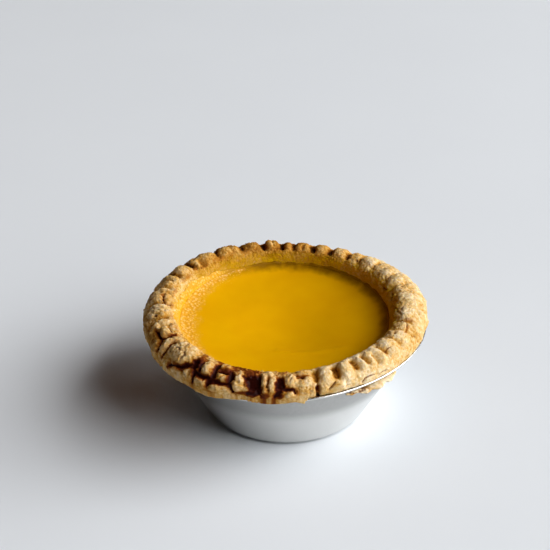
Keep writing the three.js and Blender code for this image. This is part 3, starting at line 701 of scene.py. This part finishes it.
def crust_surface(angle, across):
    """Finished crust: points in mm, and how each is baked, for a flat list of places."""
    low, high = np.maximum(0.0, across - NORMAL_REACH), np.minimum(RIM_WIDTH, across + NORMAL_REACH)
    normal_out, normal_up = rim_normal(angle, low, high)
    radius, height = plain_rim(angle, across)
    plain = turned(angle, radius, height)
    noise = {name: layered_noise(plain, *facts) for name, facts in CRUST_NOISE.items()}
    bends = [soft_noise(plain, BEND_SIZE, seed) for seed in (31, 37, 41)]
    bent = plain + BEND_REACH * np.stack(bends, axis=1)

    rough = at_rim(CRUMBLE_ROUND, angle)
    sway = 0.12 + 0.30 * rough
    swayed = (
        angle + noise["sway_along"] * sway / MM_PER_DEGREE,
        across + noise["sway_across"] * sway,
    )
    pinches = pinch_depth(*swayed)
    seams, in_seam, halo = seam_depth(*swayed, SUGARED_SEAMS, SEAM_SHOULDER)
    cracks, in_crack, _ = seam_depth(*swayed, DRY_CRACKS, CRACK_SHOULDER)
    pits = pit_depth(*swayed)
    proud = proud_rise(*swayed)
    cut = np.maximum.reduce([pinches, seams, cracks, pits])

    grain, creases, pinholes = crumbly_grain(plain, bent, rough, noise)
    fine = np.clip(grain, *GRAIN_LIMITS) * (0.25 + 0.75 * ease_step(1.0, 4.0, across))
    smooth_lip = 0.20 + 0.35 * within(200.0, 225.0, 280.0, 300.0, angle)
    fine = fine * (1.0 - smooth_lip * ease_step(12.5, 15.0, across))

    # baked sugar has pooled round the broken lumps to a smooth, slightly wavy level
    on_rim = ease_step(2.4, 5.5, across) * (1.0 - 0.75 * ease_step(12.0, 15.0, across))
    sticky = at_rim(SYRUP_ROUND, angle)
    pooled = sticky * within(4.0, 6.5, 12.4, 14.2, across)
    raw = (CRIMP_TOP + proud * (1.0 + 0.4 * pooled)) * on_rim - cut - 0.05 * pooled + fine
    sugar_here = np.maximum(pooled, in_seam * ease_step(1.2, 2.6, across))
    level = SUGAR_LEVEL + noise["sugar_waves"] * 0.24 - (1.0 - sugar_here) * 1.2
    push = np.maximum(raw, level + 0.25 * (raw - level)) - RIM_INSET
    above_sugar = raw - level + 0.22 * noise["wet_edge"]
    syrup = ease_step(mix(0.45, 0.95, pooled), -0.50, above_sugar)

    # and it has smeared and spattered thinly beside the seams
    halo = halo * np.clip(0.75 + 1.1 * noise["wetness"], 0.1, 1.3)
    spatter = ease_step(0.05, 0.50, layered_noise(bent, *SPATTER_NOISE)) * sticky
    spatter = spatter * within(0.9, 1.8, 10.5, 13.5, across)
    blots = glaze_share(*swayed, 0.5 * noise["blots"])
    on_top = np.clip(1.2 - 1.1 * proud - 0.9 * fine, 0.15, 1.3)
    smear = np.maximum(SMEAR_STRENGTH * np.maximum(halo, spatter), blots) * on_top

    features = {
        "patches": noise["patches"],
        # pinches, pinholes, hollows and creases: painted shade that darkens the crust in its
        # recesses
        "pinches": ease_step(0.20, 1.2, pinches),
        "pinholes": pinholes,
        "painted_hollow_shade": ease_step(0.05, -0.40, fine) * rough,
        "creases": creases * rough,
        # painted light: the raised lumps are paler on top
        "painted_light_on_lumps": proud * on_rim,
        # painted shade on the inner wall, strongest towards +X where the rim shades it
        "painted_wall_shade": ease_step(6.5, 3.0, across) * np.clip(
            np.cos(np.radians(angle)) + 0.15, 0.0, 1.0),
        "lip": ease_step(12.0, 15.2, across) * ease_step(300.0, 285.0, angle),
    }
    toast = at_rim(TOAST_ROUND, angle)
    for name, value in features.items():
        toast = toast + TOAST_SHARES[name] * value
    # dark brown in the dry cracks, and painted shade in the pits
    seam = 0.9 * in_crack * ease_step(0.1, 0.5, cracks) + ease_step(0.2, 0.6, pits)
    into_rim = across / at_rim(STAIN_REACH, angle)
    stain = at_rim(STAIN_ROUND, angle) * ease_step(1.35, 0.35, into_rim)
    paint = {
        "toast": toast,
        "seam": seam,
        "syrup": np.maximum(syrup, smear) + 0.3 * np.minimum(syrup, smear),
        "stain": stain,
    }
    points = turned(angle, radius + normal_out * push, height + normal_up * push)
    return points, {name: np.clip(values, 0.0, 1.0) for name, values in paint.items()}


def lobe_drop(angle):
    drop = np.zeros_like(angle)
    for where, half, deep in SAGGING_LOBES:
        x = turn_between(angle, where) * MM_PER_DEGREE_AT_LIP / half
        drop = np.maximum(drop, deep * np.exp(-x * x))
    return drop


# ---- closed bodies -----------------------------------------------------------------

class LoftedBody:
    """A closed body made of rings of points, each joined to the one before."""

    def __init__(self, *paints):
        self.points = []
        self.faces = []
        self.paint = {name: [] for name in paints}
        self.count = 0
        self.last = None

    def add_ring(self, points, paint=None):
        ring = np.arange(self.count, self.count + len(points))
        self.points.append(np.asarray(points, dtype=float))
        for name, kept in self.paint.items():
            value = 0.0 if paint is None else paint[name]
            kept.append(np.broadcast_to(value, len(points)))
        self.count += len(points)
        if self.last is not None:
            self.join(self.last, ring)
        self.last = ring

    def add_turned(self, angle, radius, height, paint=None):
        self.add_ring(turned(angle, radius, height), paint)

    def add_circle(self, steps, radius, height, paint=None):
        """A round ring that follows the tin's warp."""
        angle = all_round(steps)
        self.add_turned(angle, *warped(angle, radius, height), paint)

    def add_pole(self, height, paint=None):
        self.add_ring([(0.0, 0.0, height)], paint)

    def cap(self, ring):
        """Closes the hole inside a ring with a fan of triangles from its last point."""
        self.faces.extend((ring[-1], ring[k], ring[k + 1]) for k in range(len(ring) - 2))

    def join(self, below, ring):
        """Joins two rings, which may hold different numbers of points."""
        if len(below) == len(ring):
            quads = [below, np.roll(below, -1), np.roll(ring, -1), ring]
            self.faces.extend(np.stack(quads, axis=1).tolist())
            return
        pair = (below, ring)
        turns = sorted(
            ((k + 1) / len(each), side)
            for side, each in enumerate(pair) if len(each) > 1 for k in range(len(each))
        )
        at = [0, 0]
        for _, side in turns:
            a, b = (int(each[i % len(each)]) for each, i in zip(pair, at))
            at[side] += 1
            self.faces.append((a, int(pair[side][at[side] % len(pair[side])]), b))

    def piece(self, name, material, slot, *nodes):
        """One closed mesh in metres, facing out, standing for the named frame nodes."""
        mesh = bpy.data.meshes.new(name)
        mesh.from_pydata((np.concatenate(self.points) * MM).tolist(), [], self.faces)
        for key, kept in self.paint.items():
            layer = mesh.attributes.new(key, "FLOAT", "POINT")
            layer.data.foreach_set("value", np.concatenate(kept).astype(np.float32))
        mesh.materials.append(material)
        mesh.update()
        mesh.shade_smooth()
        piece = bpy.data.objects.new(name, mesh)
        bpy.context.scene.collection.objects.link(piece)
        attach(piece, "root")
        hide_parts(*nodes)


def in_rings(points, paint, count):
    """A flat list of points and their paint, split into rings."""
    rings = points.reshape(count, -1, 3)
    shares = {name: values.reshape(count, -1) for name, values in paint.items()}
    return [(rings[i], {name: rows[i] for name, rows in shares.items()}) for i in range(count)]


# ---- finishes ----------------------------------------------------------------------

def colour(hex_value):
    """An sRGB hex value as linear red, green, blue and alpha."""
    channels = [int(hex_value[i:i + 2], 16) / 255.0 for i in (1, 3, 5)]
    linear = [c / 12.92 if c <= 0.04045 else ((c + 0.055) / 1.055) ** 2.4 for c in channels]
    return (*linear, 1.0)


def pattern_of(place, size_mm):
    """Where a pattern lies, and its scale from the real size of its marks in mm."""
    return {"Vector": place, "Scale": 1.0 / (size_mm * MM)}


# Inputs of a Mix node by number, and what most nodes of a kind are set to and give here.
MIX_SHARE, MIX_A, MIX_B = 0, 6, 7
USUAL_SETTINGS = {"Mix": {"data_type": "RGBA"}, "Math": {"operation": "MULTIPLY"}}
USUAL_OUTPUT = {"TexCoord": "Object", "Attribute": "Fac", "SeparateXYZ": "Z", "Mix": 2}


def new_material(name):
    material = bpy.data.materials.new(name)
    material.use_nodes = True
    tree = material.node_tree
    tree.nodes.clear()
    return material, tree


def add(tree, kind, inputs, stops=(), **settings):
    """Adds one node with its settings, its inputs (values, hex colours or links) and any
    ramp stops, and gives the output that the next node takes."""
    made = tree.nodes.new("ShaderNode" + kind)
    for name, value in {**USUAL_SETTINGS.get(kind, {}), **settings}.items():
        setattr(made, name, value)
    for name, value in inputs.items():
        if isinstance(value, bpy.types.NodeSocket):
            tree.links.new(value, made.inputs[name])
        else:
            made.inputs[name].default_value = colour(value) if isinstance(value, str) else value
    if stops:
        ramp = made.color_ramp
        while len(ramp.elements) < len(stops):
            ramp.elements.new(1.0)
        for element, (place, hex_value) in zip(ramp.elements, stops):
            element.position = place
            element.color = colour(hex_value)
    return made.outputs[USUAL_OUTPUT.get(kind, 0)] if made.outputs else None


def baked_shortcrust():
    """Hand-pressed shortcrust baked dry: matt, sandy and mottled from cream to brown,
    with dark baked sugar glazing its crevices and custard staining its inner wall."""
    material, tree = new_material("baked_shortcrust")
    place = add(tree, "TexCoord", {})
    shares = ("toast", "seam", "syrup", "stain")
    baked = {name: add(tree, "Attribute", {}, attribute_name=name) for name in shares}
    noise = {}
    uneven = baked["toast"]
    for name, (size_mm, strength) in CRUST_MOTTLING.items():
        noise[name] = add(tree, "TexNoise", {
            **pattern_of(place, size_mm), "Detail": 3.0, "Roughness": 0.6,
        })
        centred = add(tree, "Math", {0: noise[name], 1: 0.5}, operation="SUBTRACT")
        uneven = add(tree, "Math", {0: centred, 1: strength, 2: uneven}, operation="MULTIPLY_ADD")
    crust = add(tree, "ValToRGB", {"Fac": uneven}, stops=(
        (0.00, "#E0CDAA"), (0.22, "#D0AF77"), (0.42, "#BB8B3F"),
        (0.62, "#986219"), (0.80, "#693A07"), (1.00, "#341802"),
    ))

    blotches = add(tree, "Math", {0: noise["fleck"], 1: noise["patch"]})
    patchy = add(tree, "MapRange", {
        "Value": blotches, "From Min": 0.14, "From Max": 0.33, "To Min": 0.40, "To Max": 1.0,
    })
    stain_share = add(tree, "Math", {0: baked["stain"], 1: patchy}, use_clamp=True)
    stained = add(tree, "Mix", {MIX_SHARE: stain_share, MIX_A: crust, MIX_B: "#C29900"})
    # dark cracks, and painted shade in pits and hollows
    cracks_and_hollows_shaded = add(tree, "Mix", {MIX_SHARE: baked["seam"], MIX_A: stained, MIX_B: "#6B3A16"})
    sugar = add(tree, "ValToRGB", {"Fac": baked["syrup"]}, stops=(
        (0.06, "#C08A38"), (0.24, "#A06418"), (0.44, "#70360A"), (0.70, "#481606"),
        (1.00, "#2A0804"),
    ))
    covered = add(tree, "MapRange", {"Value": baked["syrup"], "From Min": 0.02, "From Max": 0.36})
    glazed = add(tree, "Mix", {MIX_SHARE: covered, MIX_A: cracks_and_hollows_shaded, MIX_B: sugar})

    roughness = add(tree, "MapRange", {
        "Value": baked["syrup"], "From Min": 0.3, "To Min": 0.80, "To Max": 0.40,
    })
    sandy = add(tree, "Math", {0: noise["grain"], 1: noise["fleck"]}, operation="ADD")
    matt_only = add(tree, "MapRange", {"Value": baked["syrup"], "To Min": 0.55, "To Max": 0.05})
    bump = add(tree, "Bump", {
        "Height": sandy, "Strength": matt_only, "Distance": CRUST_GRAIN_RELIEF * MM,
    })
    shader = add(tree, "BsdfPrincipled", {
        "Base Color": glazed, "Roughness": roughness, "Normal": bump, "IOR": 1.45,
        "Specular IOR Level": 0.08, "Subsurface Weight": 0.14,
        "Subsurface Radius": (1.0, 0.5, 0.2), "Subsurface Scale": 0.6 * MM,
    })
    add(tree, "OutputMaterial", {"Surface": shader})
    return material


def set_custard():
    """Egg custard set in the oven: an opaque deep yellow with a smooth satin skin, and a
    paler bubbly film where it has dried on the crust. Along the crust the skin is darkened
    with painted shade from the rim, and some browning."""
    material, tree = new_material("set_egg_custard")
    place = add(tree, "TexCoord", {})
    shares = ("film", "edge", "rim_shade_and_browning")
    baked = {name: add(tree, "Attribute", {}, attribute_name=name) for name in shares}
    cloud = add(tree, "TexNoise", {**pattern_of(place, CUSTARD_CLOUD_SIZE), "Detail": 2.0})
    bubbles = add(tree, "TexVoronoi", pattern_of(place, DRIED_BUBBLE_SIZE))
    specks = add(tree, "TexNoise", {**pattern_of(place, SPECK_SIZE), "Detail": 2.0})
    body = add(tree, "Mix", {MIX_SHARE: cloud, MIX_A: "#C98F00", MIX_B: "#D9A300"})
    # painted shade from the crust rim, with some browning, darkens the skin along the crust
    shaded_and_browned = add(tree, "Mix", {MIX_SHARE: baked["rim_shade_and_browning"], MIX_A: body, MIX_B: "#7C5600"})
    speck_share = add(tree, "MapRange", {"Value": specks, "From Min": 0.60, "From Max": 0.70})
    speck_here = add(tree, "Math", {0: speck_share, 1: baked["edge"]}, use_clamp=True)
    specked = add(tree, "Mix", {MIX_SHARE: speck_here, MIX_A: shaded_and_browned, MIX_B: "#F0C45A"})
    froth = add(tree, "ValToRGB", {"Fac": bubbles}, stops=(
        (0.10, "#E8C284"), (0.35, "#DBA950"), (0.60, "#CC9128"),
    ))
    thin_film = add(tree, "Math", {0: baked["film"], 1: 0.75})
    skin = add(tree, "Mix", {MIX_SHARE: thin_film, MIX_A: specked, MIX_B: froth})
    lumpy = add(tree, "Math", {0: bubbles, 1: baked["film"]})
    bump = add(tree, "Bump", {"Height": lumpy, "Strength": 0.5, "Distance": 0.3 * MM}, invert=True)
    shader = add(tree, "BsdfPrincipled", {
        "Base Color": skin, "Roughness": 0.42, "Normal": bump, "IOR": 1.38,
        "Specular IOR Level": 0.12, "Subsurface Weight": 0.10,
        "Subsurface Radius": (1.0, 0.6, 0.1), "Subsurface Scale": 1.5 * MM,
    })
    add(tree, "OutputMaterial", {"Surface": shader})
    return material


def pressed_aluminium():
    """Thin aluminium sheet drawn in a press: a soft satin shine with faint upright draw
    marks, a little oven haze, and a darker band of painted shade on the upper wall under
    the flange and the crust. Real draw marks are finer; these are as coarse as they need
    to be to show."""
    material, tree = new_material("satin_pressed_aluminium")
    place = add(tree, "TexCoord", {})
    stretched = add(tree, "Mapping", {"Vector": place, "Scale": DRAW_MARK_STRETCH})
    draw_marks = add(tree, "TexNoise", {**pattern_of(stretched, DRAW_MARK_SIZE), "Detail": 2.0})
    haze = add(tree, "TexNoise", {**pattern_of(place, OVEN_HAZE_SIZE), "Detail": 3.0})
    bright = add(tree, "Mix", {MIX_SHARE: haze, MIX_A: "#CBCAC7", MIX_B: "#D7D6D3"})
    # painted shade: a darker tone on the upper wall, under the flange and the crust's overhang
    shaded_band_tone = add(tree, "Mix", {MIX_SHARE: draw_marks, MIX_A: "#9B9A97", MIX_B: "#B3B2AF"})
    height = add(tree, "SeparateXYZ", {"Vector": place})
    above_band = add(tree, "MapRange", {
        "Value": height, "From Min": SHADE_BAND_STARTS[0] * MM,
        "From Max": SHADE_BAND_STARTS[1] * MM,
    }, interpolation_type="SMOOTHSTEP")
    below_flange = add(tree, "MapRange", {
        "Value": height, "From Min": SHADE_BAND_ENDS[1] * MM,
        "From Max": SHADE_BAND_ENDS[0] * MM,
    })
    painted_shade_share = add(tree, "Math", {0: above_band, 1: below_flange})
    tone = add(tree, "Mix", {MIX_SHARE: painted_shade_share, MIX_A: bright, MIX_B: shaded_band_tone})
    roughness = add(tree, "MapRange", {"Value": haze, "To Min": 0.20, "To Max": 0.28})
    bump = add(tree, "Bump", {"Height": draw_marks, "Strength": 0.08, "Distance": 0.05 * MM})
    shader = add(tree, "BsdfPrincipled", {
        "Base Color": tone, "Metallic": 1.0, "Roughness": roughness, "Normal": bump,
    })
    add(tree, "OutputMaterial", {"Surface": shader})
    return material


def painted_table():
    """A plain painted table: pale cool grey and matt."""
    material, tree = new_material("pale_painted_table")
    place = add(tree, "TexCoord", {})
    cloud = add(tree, "TexNoise", {**pattern_of(place, TABLE_CLOUD_SIZE), "Detail": 2.0})
    tone = add(tree, "Mix", {MIX_SHARE: cloud, MIX_A: "#DBE0E5", MIX_B: "#DFE4E9"})
    shader = add(tree, "BsdfPrincipled", {"Base Color": tone, "Roughness": 0.6})
    add(tree, "OutputMaterial", {"Surface": shader})
    return material


# ---- the pieces --------------------------------------------------------------------

def tin_profile():
    """Radius and height up the outside, round the flange's rolled edge and down inside."""
    profile = [(TIN_FOOT_RADIUS * 0.5, 0.0), (TIN_FOOT_RADIUS, 0.0)]
    for i in range(1, TIN_WALL_ROWS + 1):
        height = CORNER_END_HEIGHT * (i / TIN_WALL_ROWS) ** 1.6
        profile.append((wall_radius(height), height))
    for i in range(1, TIN_WALL_ROWS + 1):
        height = mix(CORNER_END_HEIGHT, TIN_MOUTH_HEIGHT, i / TIN_WALL_ROWS)
        profile.append((wall_radius(height), height))
    edge_low = TIN_FLANGE_HEIGHT - TIN_BEAD
    profile.append((TIN_MOUTH_RADIUS + 0.35, TIN_MOUTH_HEIGHT + 0.36))
    profile.append((TIN_MOUTH_RADIUS + 1.0, TIN_MOUTH_HEIGHT + 0.55))
    profile.append((TIN_FLANGE_RADIUS - 0.95, edge_low + 0.12))
    bead_radius = TIN_BEAD / 2.0
    for i in range(TIN_BEAD_ROWS + 1):
        turn = math.radians(mix(-100.0, 100.0, i / TIN_BEAD_ROWS))
        out = TIN_FLANGE_RADIUS - bead_radius + bead_radius * math.cos(turn)
        profile.append((out, edge_low + bead_radius + bead_radius * math.sin(turn)))
    profile.append((TIN_FLANGE_RADIUS - 0.95, TIN_FLANGE_HEIGHT - 0.06))
    profile.append((TIN_MOUTH_RADIUS + 0.9, TIN_MOUTH_HEIGHT + 1.05))
    profile.append((TIN_MOUTH_RADIUS - 0.05, TIN_MOUTH_HEIGHT + 0.6))
    for height in TIN_INNER_ROWS:
        profile.append((wall_radius(height, TIN_WALL), height))
    profile.append((TIN_FOOT_RADIUS - 0.3, TIN_WALL))
    return profile


def make_tin():
    """Outer wall, rolled flange edge and inner wall, as one turned sheet."""
    body = LoftedBody()
    body.add_pole(0.0)
    for radius, height in tin_profile():
        body.add_circle(TIN_STEPS, radius, height)
    body.add_pole(TIN_WALL)
    body.piece("tart_tin", pressed_aluminium(), "tin", "tin")


def add_lip(body, angle, resting, lip, paint):
    """The rim's rounded underside: it rests on the flange, or sags past it in lobes."""
    lip_radius = np.hypot(lip[:, 0], lip[:, 1])
    lip_height = lip[:, 2]
    past = TIN_FLANGE_RADIUS - TIN_OVALNESS * saddle(angle) + LIP_GAP
    hang = ease_step(-0.05, 0.25, lip_radius - past)
    low = resting - lobe_drop(angle) * hang
    turn_in = mix(lip_radius - 1.1, past + 0.05, hang)
    body.add_turned(angle, turn_in - 0.2, resting, paint)
    body.add_turned(angle, turn_in, low + 0.06, paint)
    outer_low = mix(lip_radius - 0.7, np.maximum(past + 0.15, lip_radius - 0.8), hang)
    for i in range(LIP_ROWS):
        swing = math.radians(90.0 * i / LIP_ROWS)
        radius = mix(outer_low, lip_radius, math.sin(swing))
        body.add_turned(angle, radius, mix(lip_height, low, math.cos(swing)), paint)


def make_case(material):
    """The whole pastry case: hidden wall in the tin, lip on the flange, crimped rim and
    inner wall down under the custard."""
    hidden = {"toast": 0.3, "seam": 0.0, "syrup": 0.0, "stain": 0.0}
    body = LoftedBody(*hidden)
    set_in = TIN_WALL + FIT_GAP
    body.add_pole(set_in, hidden)
    body.add_circle(HIDDEN_STEPS, TIN_FOOT_RADIUS - 0.5, set_in, hidden)
    for height in CASE_OUTER_ROWS:
        body.add_circle(HIDDEN_STEPS, wall_radius(height, set_in), height, hidden)

    angle = all_round(RIM_STEPS)
    resting = flange_top_at(angle) + FIT_GAP * 0.5
    oval = TIN_OVALNESS * saddle(angle)
    shoulder_height = TIN_MOUTH_HEIGHT + 0.45 + TIN_SADDLE_LIFT * saddle(angle)
    body.add_turned(angle, TIN_MOUTH_RADIUS - set_in - 0.1 - oval, shoulder_height, hidden)
    body.add_turned(angle, TIN_MOUTH_RADIUS + 0.6 - oval, resting, hidden)

    rows = np.linspace(RIM_WIDTH, 0.0, RIM_ROWS)
    crust = crust_surface(np.tile(angle, RIM_ROWS), np.repeat(rows, RIM_STEPS))
    rings = in_rings(*crust, RIM_ROWS)
    add_lip(body, angle, resting, *rings[0])
    for points, paint in rings:
        body.add_ring(points, paint)

    inside = set_in + CASE_WALL
    floor = set_in + CASE_FLOOR
    under = all_round(HIDDEN_STEPS)
    body.add_turned(under, custard_line(under) - 0.25, CASE_INNER_TOP, hidden)
    for height in CASE_INNER_ROWS:
        body.add_turned(under, wall_radius(height, inside), height, hidden)
    body.add_turned(under, wall_radius(6.0, inside) - 1.6, floor + 0.4, hidden)
    body.add_pole(floor, hidden)
    body.piece("pastry_crust", material, "pastry_case", "pastry_case")


def custard_height(x, y, share):
    """The custard has sunk as it cooled, most at +X: steep by the crust, then a bowl."""
    drop = CUSTARD_EDGE_DROP + CUSTARD_EDGE_DROP_SHIFT * np.cos(np.arctan2(y, x)) * share
    height = CUSTARD_RIM_HEIGHT - drop * (1.0 - share ** CUSTARD_EDGE_SHARPNESS)
    for hollow in (CUSTARD_BOWL, CUSTARD_DIMPLE):
        away = np.hypot(x - hollow["x"], y - hollow["y"]) / hollow["radius"]
        height = height - hollow["depth"] * np.exp(-away * away)
    return height


def add_dried_film(body, angle, wander, speckled, shade_and_browning):
    """The ragged film of dried bubbles on the crust, from its top to the custard line."""
    low, high = (np.full_like(angle, across) for across in (0.1, 2.4))
    normal_out, normal_up = rim_normal(angle, low, high)
    plain_width = at_rim(CUSTARD_FILM, angle)
    width = plain_width * (1.0 + 0.45 * wander) + 0.35 * (1.0 + wander)
    wide = ease_step(0.6, 1.6, plain_width)
    for i in range(FILM_ROWS + 1):
        share = 1.0 - i / FILM_ROWS
        radius, height = plain_rim(angle, mix(0.25, width, share))
        near = crumb_cells(turned(angle, radius, height), *FILM_BUBBLES)[0]
        froth = ease_step(0.6, 0.1, near) * 0.16 - 0.05
        lift = mix(0.30, -0.12, share ** 2.5) + froth * wide * math.sin(math.pi * share)
        film = wide * ease_step(0.0, 0.35, share)
        body.add_turned(angle, radius + normal_out * lift, height + normal_up * lift,
                        {"film": film, "edge": speckled, "rim_shade_and_browning": shade_and_browning * (1.0 - film)})


def add_skin(body, angle, speckled, shade_and_browning):
    """Rings in from the crust, with soft ripples, the low fold and the dried bubbles."""
    line = custard_line(angle)
    reach = np.maximum(at_rim(FROTH_REACH, angle), 0.1)
    for i in range(1, CUSTARD_RINGS):
        share = 1.0 - i / CUSTARD_RINGS
        radius = (line - 0.15) * share
        flat = turned(angle, radius, 0.0)
        x, y = flat[:, 0], flat[:, 1]
        from_edge = line - radius
        noise = {name: layered_noise(flat, *facts) for name, facts in SKIN_NOISE.items()}
        ripple = noise["slow_ripple"] * 0.07 + noise["quick_ripple"] * 0.012
        climb = 0.30 * np.exp(-from_edge / 0.8)
        off_fold = nearest_on_line(x, y, SKIN_FOLD)[0] / SKIN_FOLD_WIDTH
        fold = SKIN_FOLD_RISE * np.exp(-off_fold * off_fold)
        settled = custard_height(x, y, share) + ripple * ease_step(0.0, 4.0, from_edge)
        height = settled + climb + fold
        uneven = 1.1 * noise["uneven_edge"]
        film = ease_step(reach, reach * 0.35, from_edge + uneven) * ease_step(0.2, 1.0, reach)
        dried = crumb_cells(flat, *SKIN_BUBBLES)[0]
        height = height + film * (ease_step(0.7, 0.1, dried) * 0.12 - 0.03)
        body.add_turned(angle, radius, height, {
            "film": film,
            "edge": ease_step(4.5, 0.3, from_edge) * speckled,
            "rim_shade_and_browning": shade_and_browning * ease_step(RIM_SHADE_AND_BROWNING_WIDTH, 0.3, from_edge + 0.8 * uneven),
        })


def make_custard():
    """Set custard down to the case's floor, with its rippled skin and the dried film that
    climbs the crust at -X."""
    body = LoftedBody("film", "edge", "rim_shade_and_browning")
    angle = all_round(CUSTARD_STEPS)
    set_in = TIN_WALL + FIT_GAP + CASE_WALL + CUSTARD_FLOOR_GAP
    floor = TIN_WALL + FIT_GAP + CASE_FLOOR + CUSTARD_FLOOR_GAP
    body.add_pole(floor)
    body.add_turned(angle, wall_radius(6.2, set_in) - 2.2, floor + 0.45)
    for height in CUSTARD_HIDDEN_ROWS:
        body.add_turned(angle, wall_radius(height, set_in), height)
    body.add_turned(angle, custard_line(angle) - 0.65, CUSTARD_HIDDEN_TOP)

    wander = layered_noise(turned(angle, custard_line(angle), 0.0), *FILM_NOISE)
    speckled = ease_step(0.4, 2.0, at_rim(FROTH_REACH, angle))
    # painted shade from the crust rim along the custard's edge, with some browning of the skin
    shade_and_browning = at_rim(RIM_SHADE_AND_BROWNING_ROUND, angle) * np.clip(1.0 + 0.5 * wander, 0.0, 1.0)
    add_dried_film(body, angle, wander, speckled, shade_and_browning)
    add_skin(body, angle, speckled, shade_and_browning)
    body.add_pole(float(custard_height(0.0, 0.0, 0.0)))
    body.piece("custard_filling", set_custard(), "custard", "custard")


def make_scrap(material):
    """A crumbly tongue of pastry that crept under the flange and baked there."""
    share = np.repeat(np.linspace(1.0, 0.0, SCRAP_STEPS), SCRAP_AROUND)
    circle = np.radians(np.tile(all_round(SCRAP_AROUND), SCRAP_STEPS))
    angle = mix(SCRAP_FROM, SCRAP_TO, share)
    swell = np.sin(np.pi * mix(0.06, 0.94, share)) ** 0.6
    uneven = 0.32 * np.sin(share * 24.0 + 0.8) + 0.06 * np.sin(share * 86.0 + 1.0)
    top = flange_top_at(angle) - TIN_BEAD - FIT_GAP
    inner = SCRAP_INNER_RADIUS - TIN_OVALNESS * saddle(angle) + 0.35 * (1.0 - swell)
    outer = inner + 0.5 + (SCRAP_REACH - 0.5) * swell + uneven * swell
    thick = SCRAP_THICKNESS * mix(0.45, 1.0, swell) + uneven * 0.5
    radius = mix(inner, outer, 0.5 + 0.5 * np.cos(circle))
    height = top - thick * (0.45 - 0.42 * np.sin(circle))
    push = layered_noise(turned(angle, radius, height), *SCRAP_NOISE["lumps"]) * 0.60 - 0.16
    radius = radius + push * np.cos(circle)
    height = height + push * np.sin(circle) * 0.6
    points = turned(angle, radius, height)
    burnt = ease_step(0.0, 0.25, layered_noise(points, *SCRAP_NOISE["burnt"]))
    paint = {
        "toast": np.clip(0.14 + layered_noise(points, *SCRAP_NOISE["toast"]) * 0.3, 0.0, 1.0),
        # painted shade in the scrap's hollows, and burnt spots at its end below 308 degrees
        "seam": ease_step(0.30, 0.55, -push) + burnt * ease_step(308.0, 300.0, angle),
        "syrup": np.zeros_like(angle),
        "stain": np.zeros_like(angle),
    }
    body = LoftedBody(*paint)
    rings = in_rings(points, paint, SCRAP_STEPS)
    body.add_ring(*rings[0])
    body.cap(body.last[::-1])
    for ring in rings[1:]:
        body.add_ring(*ring)
    body.cap(body.last)
    body.piece("pastry_scrap_baked", material, "pastry_scrap", "pastry_scrap")


# ---- table, light and camera -------------------------------------------------------

def make_table():
    half = TABLE_WIDTH / 2.0
    mesh = bpy.data.meshes.new("table_top")
    corners = [(-half, -half, 0.0), (half, -half, 0.0), (half, half, 0.0), (-half, half, 0.0)]
    mesh.from_pydata(corners, [], [(0, 1, 2, 3)])
    mesh.materials.append(painted_table())
    table = bpy.data.objects.new("table_top", mesh)
    bpy.context.scene.collection.objects.link(table)


def add_window(name, azimuth, elevation, width, height, watts, tint):
    """A soft rectangular light that faces the tart, as a window would."""
    light = bpy.data.lights.new(name, "AREA")
    light.shape = "RECTANGLE"
    light.size = width
    light.size_y = height
    light.energy = watts
    light.color = colour(tint)[:3]
    window = bpy.data.objects.new(name, light)
    turn, rise = math.radians(azimuth), math.radians(elevation)
    towards = Vector((math.cos(rise) * math.cos(turn), math.cos(rise) * math.sin(turn),
                      math.sin(rise)))
    window.location = towards * WINDOW_DISTANCE
    window.rotation_euler = towards.to_track_quat("Z", "Y").to_euler()
    bpy.context.scene.collection.objects.link(window)


def light_the_scene():
    """A tall window to the right, a lower one beyond it and a faint warm bounce."""
    for name, facts in WINDOWS.items():
        add_window(name, *facts)
    world = bpy.data.worlds.new("dim_room")
    world.use_nodes = True
    background = world.node_tree.nodes["Background"]
    background.inputs["Color"].default_value = colour("#FFE2B8")
    background.inputs["Strength"].default_value = ROOM_STRENGTH
    bpy.context.scene.world = world
    bpy.context.scene.view_settings.view_transform = "Standard"


def place_camera():
    """Aims a long lens so that the middle of the tin's foot lands on its pixel."""
    camera_data = bpy.data.cameras.new("viewpoint")
    camera_data.sensor_width = SENSOR_WIDTH
    camera_data.sensor_fit = "HORIZONTAL"
    camera_data.lens = SENSOR_WIDTH * FOCAL_PIXELS / FRAME_WIDTH
    camera = bpy.data.objects.new("viewpoint", camera_data)
    rise = math.radians(VIEW_ELEVATION)
    camera.location = (0.0, -VIEW_DISTANCE * math.cos(rise), VIEW_DISTANCE * math.sin(rise))
    off_right = math.atan((FOOT_PIXEL[0] - FRAME_WIDTH / 2.0) / FOCAL_PIXELS)
    off_down = math.atan((FOOT_PIXEL[1] - FRAME_WIDTH / 2.0) / FOCAL_PIXELS)
    facing = Euler((math.radians(90.0) - rise, 0.0, 0.0)).to_matrix()
    aim = facing @ Matrix.Rotation(off_down, 3, "X") @ Matrix.Rotation(off_right, 3, "Y")
    camera.rotation_euler = aim.to_euler()
    bpy.context.scene.collection.objects.link(camera)
    bpy.context.scene.camera = camera


place_camera()
light_the_scene()
make_table()
crust_material = baked_shortcrust()
make_tin()
make_case(crust_material)
make_custard()
make_scrap(crust_material)
